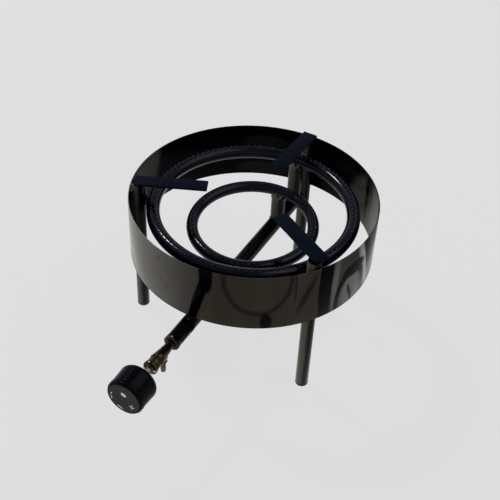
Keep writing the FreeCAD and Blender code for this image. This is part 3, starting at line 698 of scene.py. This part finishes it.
# ---------------------------------------------------------------- burner rings
def port_drill(tube_radius):
    """Drill for one port: a soot-black hole with a bright countersunk mouth, pointing up."""
    mouth = PORT_RADIUS + 2 * PORT_SINK
    drill = turned("port_drill", [
        (PORT_RADIUS, tube_radius - PORT_DEPTH), (PORT_RADIUS, tube_radius - PORT_SINK),
        (mouth, tube_radius + PORT_SINK), (mouth, tube_radius + 2 * PORT_SINK)], sides=10)
    drill.data.materials.append(PORT_SOOT)
    drill.data.materials.append(PORT_STEEL)
    for face in drill.data.polygons:
        face.material_index = 1 if face.center.z > tube_radius - PORT_SINK * 0.9 else 0
    return drill


def burner_ring(name, node_name, ring_radius, tube, port_count, place):
    """Bent tube with two staggered rows of drilled ports."""
    nothing_selected()
    bpy.ops.mesh.primitive_torus_add(major_segments=2 * port_count, minor_segments=36,
                                     major_radius=ring_radius, minor_radius=tube / 2)
    ring = bpy.context.object
    ring.name = name
    ring.data.materials.append(RING_ENAMEL)
    places = []
    for row in (-1, 1):
        for k in range(port_count):
            angle = FULL_TURN * (k + 0.5 + 0.25 * row) / port_count
            places.append(Matrix.Rotation(angle, 4, "Z") @ Matrix.Translation((ring_radius, 0, 0))
                          @ Matrix.Rotation(row * PORT_TILT, 4, "Y"))
    cut(ring, copies(port_drill(tube / 2), places))
    ring.data.transform(place)
    smooth(ring, 30)
    done(ring, "stand", [node_name], "burner_enamel")


def rings():
    burner_ring("outer_ring_tube", "outer_burner_ring", OUTER_RING_RADIUS, OUTER_TUBE, OUTER_PORTS,
                Matrix.Translation(BURNER + Vector((0, 0, OUTER_RING_HEIGHT))))
    burner_ring("inner_ring_tube", "inner_burner_ring", INNER_RING_RADIUS, INNER_TUBE, INNER_PORTS,
                Matrix.Translation(BURNER + Vector((0, 0, INNER_RING_HEIGHT)))
                @ Matrix.Rotation(INNER_RING_SAG, 4, "X"))


# ---------------------------------------------------------------- mixer pipe and risers
def rippled(height, count, share):
    """Factor that swells and shrinks along a weld bead."""
    return 1 + height * math.sin(count * share * FULL_TURN)


def saddle_bead(name, tube_radius, bead):
    """Rippled weld round an upright tube on Z where it stands on the mixer pipe."""
    ripples, ripple = 22, 0.12
    nothing_selected()
    bpy.ops.mesh.primitive_torus_add(major_segments=96, minor_segments=14,
                                     major_radius=tube_radius, minor_radius=bead)
    ring = bpy.context.object
    ring.name = name
    for vertex in ring.data.vertices:
        angle = math.atan2(vertex.co.y, vertex.co.x)
        spine = Vector((math.cos(angle), math.sin(angle), 0)) * tube_radius
        vertex.co = spine + (vertex.co - spine) * rippled(ripple, ripples, angle / FULL_TURN)
        offset = min(abs(spine.x), 0.94 * PIPE_RADIUS)
        vertex.co.z += PIPE_HEIGHT + math.sqrt(PIPE_RADIUS ** 2 - offset ** 2)
    return ring


def riser(name, node_name, ring_height, ring_tube):
    """Upright tube from the mixer pipe to a ring, its sloping crown and foot welded over."""
    low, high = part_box(node_name)
    radius = (high.x - low.x) / 2
    centre = Vector(((low.x + high.x) / 2, low.y + radius, 0))
    underside = ring_height - ring_tube / 2
    crown_slope, crown_lift = 42, 1.5 * MM
    neck_size, neck_slope, neck_lift = (2.08 * radius, 15 * MM, 11 * MM), 35, 3.5 * MM
    grain = 0.7 * MM
    tube = turned(name, [(radius, low.z), (radius, ring_height)], sides=48)
    nothing_selected()
    bpy.ops.mesh.primitive_cube_add(size=4 * radius, location=(0, 0, 2 * radius))
    slope = settle(bpy.context.object)
    slope.rotation_euler.x = math.radians(crown_slope)
    slope.location = (0, -radius, underside + crown_lift)
    cut(tube, settle(slope))
    foot = saddle_bead(name + "_foot", radius, WELD_RADIUS)
    neck = lump(name + "_neck", neck_size,
                Matrix.Translation((0, -0.25 * radius, underside + neck_lift))
                @ Matrix.Rotation(math.radians(neck_slope), 4, "X"), seed=2.0)
    whole = joined(name, [settle(tube), foot, neck])
    whole.location = centre
    settle(whole)
    change(whole, "REMESH", mode="VOXEL", voxel_size=grain, adaptivity=0.0)
    change(whole, "SMOOTH", factor=0.5, iterations=5)
    done(smooth(whole, 80), "stand", [node_name], "burner_enamel", TUBE_ENAMEL)


def mixer_pipe():
    """Straight pipe with a rolled mouth and four air holes behind it."""
    inner = PIPE_RADIUS - TUBE_WALL
    mouth, back = -PIPE_MOUTH, -PIPE_END
    lip = 0.5 * MM
    plain, step = 60 * MM, 4 * MM          # bands of faces round the air holes
    outline = ([(PIPE_RADIUS, back), (PIPE_RADIUS, back + plain)]
               + [(PIPE_RADIUS, mouth - plain + step * k) for k in range(13)]
               + [(PIPE_RADIUS, mouth - 7 * MM), (PIPE_RADIUS + lip, mouth - 5.5 * MM),
                  (PIPE_RADIUS + lip, mouth - 0.8 * MM), (PIPE_RADIUS - 0.2 * MM, mouth),
                  (inner, mouth), (inner, back)])
    pipe = turned("mixer_tube", outline, sides=64, hollow=True)
    pipe.data.materials.append(TUBE_ENAMEL)
    for turn in (0, 90):
        nothing_selected()
        bpy.ops.mesh.primitive_cylinder_add(vertices=40, radius=AIR_HOLE_RADIUS,
                                            depth=3 * PIPE_RADIUS)
        drill = bpy.context.object
        drill.rotation_euler.x = math.pi / 2
        settle(drill)
        drill.rotation_euler.z = math.radians(turn)
        drill.location.z = mouth - AIR_HOLE_SETBACK
        settle(drill)
        drill.data.materials.append(TUBE_ENAMEL)
        cut(pipe, drill)
    on_tap_axis(pipe)
    soften(pipe, TUBE_EDGE, angle=55, shading=40)
    done(pipe, "stand", ["mixer_pipe"], "burner_enamel")


def pipe_end_disc():
    """Pressed disc in the far end of the pipe."""
    low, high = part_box("pipe_end_cap")
    radius = (high.z - low.z) / 2
    disc = turned("pipe_end_disc", [
        (radius, -low.y), (radius, -high.y + 0.4 * MM), (radius - 0.5 * MM, -high.y),
        (radius - 3 * MM, -high.y), (radius - 4 * MM, -high.y + 0.5 * MM)], sides=64)
    done(smooth(on_tap_axis(disc)), "stand", ["pipe_end_cap"], "burner_enamel", TUBE_ENAMEL)


# ---------------------------------------------------------------- welds
def lump(name, size, place, seed):
    """Uneven weld lump of a given size."""
    nothing_selected()
    bpy.ops.mesh.primitive_ico_sphere_add(subdivisions=4, radius=0.5)
    bead = bpy.context.object
    bead.name = name
    for vertex in bead.data.vertices:
        wave = (math.sin(9 * vertex.co.x + seed) + math.sin(11 * vertex.co.y + 2.1 * seed)
                + math.sin(10 * vertex.co.z + 3.3 * seed))
        vertex.co *= 1 + 0.07 * wave
    bead.data.transform(place @ Matrix.Diagonal((*size, 1)))
    return bead


def leg_line():
    """Radius of a leg's tube, and how far the legs stand from the burner's axis."""
    low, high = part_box("leg_back")
    centre = (low + high) / 2
    return (high.x - low.x) / 2, (Vector((centre.x, centre.y, 0)) - BURNER).length


def ring_welds():
    """Three lumps of weld, one over the other, between the outer ring and each leg."""
    leg_radius, leg_reach = leg_line()
    near = OUTER_RING_RADIUS + OUTER_TUBE / 2
    far = leg_reach - leg_radius
    step, bite = 6 * MM, 6 * MM
    lumps = []
    for seed, angle in enumerate(LEG_ANGLES.values()):
        for rise, lift in ((0, 1.0), (step, 0.75), (-step, 0.75)):
            size = (far - near + bite, 11 * MM * lift, 8 * MM)
            place = around(angle, (near + far) / 2 - abs(rise) / 4, OUTER_RING_HEIGHT + rise)
            lumps.append(lump("ring_weld_lump", size, place, seed + rise / MM))
    beads = smooth(joined("ring_weld_lumps", lumps), 60)
    done(beads, "stand", ["ring_welds"], "burner_enamel", WELD_ENAMEL)


def shield_welds():
    """An upright rippled bead between the shield and each leg."""
    low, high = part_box("shield_welds")
    leg_radius, leg_reach = leg_line()
    middle = (leg_reach + leg_radius + SHIELD_RADIUS - SHIELD_WALL) / 2
    ripples, ripple = 14, 0.14
    steps = 48
    beads = []
    for angle in LEG_ANGLES.values():
        outline = [(WELD_RADIUS * rippled(ripple, ripples, k / steps),
                    low.z + (high.z - low.z) * k / steps) for k in range(steps + 1)]
        bead = turned("shield_weld_bead", outline, sides=16)
        bead.data.transform(around(angle, middle))
        beads.append(bead)
    beads = smooth(joined("shield_weld_beads", beads), 60)
    done(beads, "stand", ["shield_welds"], "shield_enamel", WELD_ENAMEL)


# ---------------------------------------------------------------- tap, fixed pieces
def mouth_collar():
    """Brass collar that fills the pipe's mouth round the tap's shank."""
    low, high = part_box("mouth_flange")
    radius = (high.x - low.x) / 2
    hole = 5.6 * MM
    collar = turned("mouth_collar", [
        (radius, -high.y), (radius, -low.y - 0.6 * MM), (radius - 0.8 * MM, -low.y),
        (radius - 2.6 * MM, -low.y), (radius - 3.2 * MM, -low.y - 0.5 * MM),
        (hole + 0.8 * MM, -low.y - 0.5 * MM), (hole, -low.y - 1.2 * MM), (hole, -high.y)],
        sides=48, hollow=True)
    done(smooth(on_tap_axis(collar)), "stand", ["mouth_flange"], "brass", BRASS)


def slotted_head(name, radius, height):
    """Round screw head with a slot, its seat at height 0."""
    head = turned(name, [(radius, -0.5 * MM), (radius, 0.65 * height), (0.86 * radius, 0.9 * height),
                         (0.6 * radius, height)], sides=24)
    nothing_selected()
    bpy.ops.mesh.primitive_cube_add(size=1, location=(0, 0, height))
    slot = bpy.context.object
    slot.scale = (3 * radius, 0.32 * radius, height)
    cut(head, settle(slot))
    return smooth(head, 30)


def collar_screw():
    """Set screw on top of the pipe's mouth."""
    low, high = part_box("flange_screw")
    head = slotted_head("collar_set_screw", (high.x - low.x) / 2, 1.2 * MM)
    head.rotation_euler.z = math.radians(35)
    over_box(head, low, high, PIPE_HEIGHT + PIPE_RADIUS)
    done(head, "stand", ["flange_screw"], "bright_steel", STEEL)


def tap_body():
    """Cast body: shank, slender cone, barrel with turned bands, and the inlet boss."""
    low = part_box("valve_body")[0]
    start = -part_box("mouth_flange")[0].y
    end = -low.y
    barrel_length = 16 * MM
    barrel = end - barrel_length
    shank, neck, swell, waist = 5.5 * MM, 6.25 * MM, 11 * MM, 10.3 * MM
    cone = [(neck + (swell - 0.8 * MM - neck) * t, start + 2 * MM + (barrel - start - 4 * MM) * t)
            for t in (0, 0.25, 0.5, 0.75, 1)]
    body = turned("tap_casting", [
        (shank, start - 9 * MM), (shank, start + 0.2 * MM), (neck + 1.0 * MM, start + 0.4 * MM),
        (neck + 1.0 * MM, start + 1.4 * MM)] + cone + [
        (swell - 1.0 * MM, barrel - 1.2 * MM), (swell, barrel - 0.4 * MM), (swell, barrel + 2.4 * MM),
        (waist, barrel + 3.2 * MM), (waist, end - 3.4 * MM), (swell, end - 2.6 * MM), (swell, end)],
        sides=56)
    on_tap_axis(body)
    boss_radius, boss_foot = 6.0 * MM, 7.6 * MM
    boss = turned("inlet_boss", [
        (boss_radius - 0.8 * MM, low.z), (boss_radius, low.z + 0.8 * MM),
        (boss_radius, PIPE_HEIGHT - 10.5 * MM), (boss_radius + 0.6 * MM, PIPE_HEIGHT - 8.6 * MM),
        (boss_foot, PIPE_HEIGHT - 7.4 * MM), (boss_foot, PIPE_HEIGHT - 5 * MM)], sides=40)
    over_box(boss, *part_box("hose_nipple"))
    body = smooth(joined("tap_casting", [body, boss]), 32)
    done(body, "stand", ["valve_body"], "brass", BRASS)


def inlet_nipple():
    """Hexagon and plain tail that a hose is pushed on to."""
    low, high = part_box("hose_nipple")
    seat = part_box("valve_body")[0].z
    corner, radius, bore = 6.9 * MM, 4.25 * MM, 2.0 * MM
    hexagon = turned("inlet_hexagon", [
        (corner - 0.6 * MM, seat - 4 * MM), (corner, seat - 3.6 * MM), (corner, seat - 0.4 * MM),
        (corner - 0.6 * MM, seat)], sides=6)
    tail = turned("inlet_tail", [
        (radius, seat - 3.5 * MM), (radius, low.z + 1.1 * MM), (radius - 0.3 * MM, low.z + 0.4 * MM),
        (radius - 1.0 * MM, low.z), (bore + 0.1 * MM, low.z), (bore, low.z + 0.4 * MM),
        (bore, low.z + 8 * MM)], sides=36)
    nipple = joined("inlet_nipple", [hexagon, tail])
    smooth(over_box(nipple, low, high), 32)
    done(nipple, "stand", ["hose_nipple"], "brass", BRASS)


def bonnet():
    """Turned cover of the barrel, with a low boss round the spindle and two screws."""
    low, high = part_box("bonnet")
    radius = (high.x - low.x) / 2
    face = -low.y
    boss, bore, edge = 5.6 * MM, 4.1 * MM, 0.4 * MM
    plate = turned("bonnet_plate", [
        (radius - edge, -high.y), (radius, -high.y + 0.5 * MM), (radius, face - 1.4 * MM),
        (radius - edge, face - 0.8 * MM), (radius - 1.2 * MM, face - 0.5 * MM),
        (boss + edge, face - 0.5 * MM), (boss, face), (bore, face), (bore, -high.y)],
        sides=56, hollow=True)
    done(smooth(on_tap_axis(plate)), "stand", ["bonnet"], "brass", BRASS)

    screw_low, screw_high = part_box("bonnet_screws")
    head_radius = 2.2 * MM
    spread = (screw_high.x - screw_low.x) / 2 - head_radius
    heads = []
    for side, turn in ((-1, 20), (1, 65)):
        head = slotted_head("bonnet_screw", head_radius, 1.5 * MM)
        head.rotation_euler.z = math.radians(turn)
        head.location = (side * spread, 0, face - 0.1 * MM)
        heads.append(on_tap_axis(settle(head)))
    screws = joined("bonnet_screw_pair", heads)
    done(screws, "stand", ["bonnet_screws"], "bright_steel", STEEL)


# ---------------------------------------------------------------- tap, moving pieces
def spindle():
    """Steel rod with a turned groove, a chamfered end and its collar in the barrel."""
    low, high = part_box("spindle")
    face, seat = (-corner.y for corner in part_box("bonnet"))
    radius, stub, collar = 4.0 * MM, 2.4 * MM, 5.8 * MM
    groove, chamfer = 0.5 * MM, 0.8 * MM
    rod = turned("spindle_rod", [
        (stub, -high.y), (stub, seat - 2.2 * MM), (collar, seat - 2.1 * MM),
        (collar, seat - 0.1 * MM), (radius, seat - 0.1 * MM), (radius, face + 6 * MM),
        (radius - groove, face + 6.4 * MM), (radius - groove, face + 7.6 * MM),
        (radius, face + 8 * MM), (radius, -low.y - chamfer), (radius - chamfer, -low.y)], sides=32)
    done(smooth(on_tap_axis(rod)), "knob", ["spindle"], "bright_steel", SPINDLE_STEEL)


def plug_spring():
    """Coil spring behind the spindle's collar."""
    low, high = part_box("plug_spring")
    wire = 0.5 * MM
    turns = 3
    nothing_selected()
    bpy.ops.mesh.primitive_circle_add(vertices=10, radius=wire, fill_type="NGON",
                                      location=((high.x - low.x) / 2 - wire, 0, -high.y + wire),
                                      rotation=(math.pi / 2, 0, 0))
    coil = settle(bpy.context.object)
    coil.name = "plug_coil"
    change(coil, "SCREW", angle=turns * FULL_TURN, steps=turns * 20, render_steps=turns * 20,
           screw_offset=high.y - low.y - 2 * wire, axis="Z", use_merge_vertices=True)
    mode("EDIT")
    bpy.ops.mesh.select_all(action="SELECT")
    bpy.ops.mesh.fill_holes(sides=0)
    bpy.ops.mesh.normals_make_consistent(inside=False)
    mode("OBJECT")
    done(smooth(on_tap_axis(coil), 50), "plug", ["plug_spring"], "bright_steel", STEEL)


def knob():
    """Moulded knob: rounded shoulder, ribbed grip and two thin bands at the front."""
    low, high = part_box("knob")
    back, front = -high.y, -low.y
    widest = (high.z - low.z) / 2
    band, waist, rim = widest - 1.5 * MM, widest - 2.2 * MM, widest - 4.4 * MM
    drawn_in, shoulder = 10.0 * MM, 10.0 * MM
    wall, hub, floor = 2.4 * MM, 8.0 * MM, front - 3.6 * MM
    curve = [(widest - 1.0 * MM - drawn_in * (1 - math.sin(t)), back + shoulder * (1 - math.cos(t)))
             for t in (math.pi * k / 16 for k in range(9))]
    grip_start, grip_end = back + shoulder + 1.5 * MM, front - 12.5 * MM
    outline = curve + [
        (widest - 1.2 * MM, grip_start), (waist + 0.2 * MM, grip_end), (waist, front - 10.3 * MM),
        (band - 0.3 * MM, front - 9.9 * MM), (band, front - 9.4 * MM), (band, front - 8.1 * MM),
        (band - 0.3 * MM, front - 7.6 * MM), (waist, front - 7.3 * MM), (waist, front - 6.2 * MM),
        (band - 0.3 * MM, front - 5.9 * MM), (band, front - 5.4 * MM), (band, front - 4.2 * MM),
        (band - 0.3 * MM, front - 3.3 * MM), (rim + 0.7 * MM, front - 0.5 * MM),
        (rim + 0.1 * MM, front - 0.1 * MM), (rim - 0.4 * MM, front), (rim - 1.1 * MM, front),
        (rim - 1.4 * MM, front - 0.4 * MM), (rim - 1.4 * MM, floor),
        (hub, floor), (hub, floor - 0.4 * MM), (waist - wall, floor - 0.4 * MM),
        (widest - 1.0 * MM - wall, back + shoulder),
        (widest - 1.0 * MM - 0.45 * drawn_in - wall, back + 0.25 * shoulder),
        (widest - 1.0 * MM - drawn_in - wall, back)]
    shell = turned("knob_shell", outline, sides=96, hollow=True)
    ribs, groove_depth, groove_margin = 24, 0.8 * MM, 0.45 * MM
    width = FULL_TURN / ribs
    for face in shell.data.polygons:
        angle = math.atan2(face.center.y, face.center.x) % width
        face.select = (grip_start < face.center.z < grip_end and angle > 0.5 * width
                       and face.normal.dot(face.center) > 0)
    mode("EDIT")
    bpy.ops.mesh.select_mode(type="FACE")
    bpy.ops.mesh.inset(thickness=groove_margin, depth=-groove_depth)
    mode("OBJECT")
    hub_end, bore = back + 5.0 * MM, 4.1 * MM
    knob_hub = turned("knob_hub", [
        (hub, floor - 0.4 * MM), (hub, hub_end), (bore, hub_end), (bore, front - 6.0 * MM)],
        sides=40)
    whole = smooth(joined("knob_shell", [on_tap_axis(shell), on_tap_axis(knob_hub)]), 30)
    done(whole, "knob", ["knob"], "knob_plastic", KNOB_PLASTIC)


def dial():
    """Disc in the knob's face, dished a little in the middle."""
    low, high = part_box("knob_dial")
    radius = (high.z - low.z) / 2
    edge, dish = 0.3 * MM, 9.5 * MM
    back, front = -high.y, -low.y - edge
    disc = turned("dial_disc", [
        (radius, back), (radius, front - edge), (radius - edge, front), (dish, front),
        (dish - 0.9 * MM, front - 0.25 * MM), (dish - 2.0 * MM, front - 0.35 * MM)], sides=72)
    done(smooth(on_tap_axis(disc), 20), "knob", ["knob_dial"], "dial_print", DIAL_FACE)
    return front


def mark_stroke(start, end, width, thickness):
    """Short flat stroke with rounded ends between two points of the dial."""
    nothing_selected()
    span = Vector(end) - Vector(start)
    bpy.ops.mesh.primitive_circle_add(vertices=16, radius=width / 2, fill_type="NGON")
    stroke = bpy.context.object
    for vertex in stroke.data.vertices:
        if vertex.co.x > 0:
            vertex.co.x += span.length
    stroke.data.transform(Matrix.Translation((*start, 0))
                          @ Matrix.Rotation(math.atan2(span.y, span.x), 4, "Z"))
    return change(stroke, "SOLIDIFY", thickness=thickness, offset=1)


def dial_marks(front):
    """Plain marks: a dot for off, an arc, a dash and a plus for the flame settings."""
    ink, sink = 0.15 * MM, 0.02 * MM
    dot, line, fine_line = 6.0 * MM, 1.8 * MM, 1.6 * MM
    strokes = [mark_stroke((-0.9 * MM, 9.4 * MM), (1.7 * MM, 8.4 * MM), dot, ink)]
    arc_centre, arc_radius = Vector((-9.3 * MM, -2.6 * MM)), 12.0 * MM
    bends = [math.radians(154 + 13 * k) for k in range(5)]
    points = [arc_centre + arc_radius * Vector((math.cos(t), math.sin(t))) for t in bends]
    strokes += [mark_stroke(a, b, line, ink) for a, b in zip(points, points[1:])]
    strokes.append(mark_stroke((-10.3 * MM, -18.6 * MM), (-3.0 * MM, -21.6 * MM), line, ink))
    plus, arm = Vector((13.4 * MM, -9.4 * MM)), 3.6 * MM
    for reach in (Vector((arm, 0)), Vector((0, arm))):
        strokes.append(mark_stroke(plus - reach, plus + reach, fine_line, ink))
    marks = joined("dial_marks", strokes)
    marks.location.z = front - sink
    on_tap_axis(settle(marks))
    done(marks, "knob", [], "dial_print", MARK_PRINT)


# ---------------------------------------------------------------- scene
def camera():
    """The photograph's own view of the burner."""
    back = Vector((math.sin(CAMERA_AZIMUTH) * math.cos(CAMERA_ELEVATION),
                   -math.cos(CAMERA_AZIMUTH) * math.cos(CAMERA_ELEVATION),
                   math.sin(CAMERA_ELEVATION)))
    aim = BURNER + Vector((0, 0, SHIELD_HIGH.z))
    turn = ((-back).to_track_quat("-Z", "Y").to_matrix().to_4x4()
            @ Matrix.Rotation(-CAMERA_PAN, 4, "Y") @ Matrix.Rotation(-CAMERA_TILT, 4, "X")
            @ Matrix.Rotation(CAMERA_ROLL, 4, "Z"))
    bpy.ops.object.camera_add()
    eye = bpy.context.object
    eye.matrix_world = Matrix.Translation(aim + back * CAMERA_DISTANCE) @ turn
    eye.data.lens = CAMERA_LENS
    eye.data.sensor_width = CAMERA_SENSOR
    eye.data.clip_end = 50
    bpy.context.scene.camera = eye


def lamp(name, azimuth, elevation, distance, size, power):
    """Square soft lamp that faces the burner."""
    a, e = math.radians(azimuth), math.radians(elevation)
    away = Vector((math.cos(a) * math.cos(e), math.sin(a) * math.cos(e), math.sin(e)))
    nothing_selected()
    bpy.ops.object.light_add(type="AREA", location=BURNER + away * distance)
    light = bpy.context.object
    light.name = name
    light.rotation_euler = (-away).to_track_quat("-Z", "Y").to_euler()
    light.data.size = size
    light.data.energy = power


def seen_pale(tree, shaded, output, share):
    """Lift a pale surface towards its own colour where it is looked at or mirrored."""
    rays = node(tree, "LightPath").outputs
    either = maths(tree, "MAXIMUM", rays["Is Camera Ray"], rays["Is Glossy Ray"])
    any_ray = maths(tree, "MAXIMUM", either, rays["Is Transmission Ray"])
    level = maths(tree, "MULTIPLY", any_ray, share)
    glow = node(tree, "Emission", Color=(*PALE, 1), Strength=1.0)
    mix = node(tree, "MixShader", [(level, "Fac"), (shaded, 1), (glow.outputs[0], 2)])
    feed(tree, mix.outputs[0], output.inputs["Surface"])


def studio():
    """Pale floor, pale surroundings that darken overhead, and soft lamps."""
    nothing_selected()
    bpy.ops.mesh.primitive_circle_add(vertices=96, radius=12, fill_type="NGON", location=BURNER)
    floor = bpy.context.object
    floor.name = "floor"
    pale = bpy.data.materials.new("pale_floor")
    pale.use_nodes = True
    shader = pale.node_tree.nodes["Principled BSDF"]
    shader.inputs["Base Color"].default_value = (*PALE, 1)
    shader.inputs["Roughness"].default_value = 0.9
    shader.inputs["Specular IOR Level"].default_value = 0.0
    seen_pale(pale.node_tree, shader.outputs[0], pale.node_tree.nodes["Material Output"],
              FLOOR_GLOW)
    floor.data.materials.append(pale)

    world = bpy.data.worlds.new("pale_room")
    world.use_nodes = True
    tree = world.node_tree
    direction = node(tree, "SeparateXYZ", [(node(tree, "TexCoord").outputs["Generated"], "Vector")])
    ramp = node(tree, "ValToRGB", [(direction.outputs["Z"], "Fac")])
    for stop, (height, tone) in zip(ramp.color_ramp.elements, ROOM_TONES):
        stop.position = height
        stop.color = (*tone, 1)
    feed(tree, ramp.outputs["Color"], tree.nodes["Background"].inputs["Color"])
    tree.nodes["Background"].inputs["Strength"].default_value = 1.0
    bpy.context.scene.world = world

    lamp("key", azimuth=165, elevation=50, distance=4.0, size=0.55, power=71)
    lamp("fill", azimuth=20, elevation=60, distance=5.0, size=4.0, power=67)
    bpy.context.scene.view_settings.view_transform = "Standard"


camera()
studio()
shield()
for side in LEG_ANGLES:
    leg(side)
feet()
for side in BAR_ANGLES:
    pot_bar(side)
rings()
riser("outer_riser_tube", "outer_riser", OUTER_RING_HEIGHT, OUTER_TUBE)
riser("inner_riser_tube", "inner_riser",
      INNER_RING_HEIGHT + INNER_RING_RADIUS * math.sin(INNER_RING_SAG), INNER_TUBE)
mixer_pipe()
pipe_end_disc()
ring_welds()
shield_welds()
mouth_collar()
collar_screw()
tap_body()
inlet_nipple()
bonnet()
spindle()
plug_spring()
knob()
dial_marks(dial())

# The pieces inside the tap and the knob's clip keep their plain shapes.
for name, material in (("injector", BRASS), ("taper_plug", BRASS), ("knob_clip", STEEL)):
    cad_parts[name].data.materials.clear()
    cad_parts[name].data.materials.append(material)
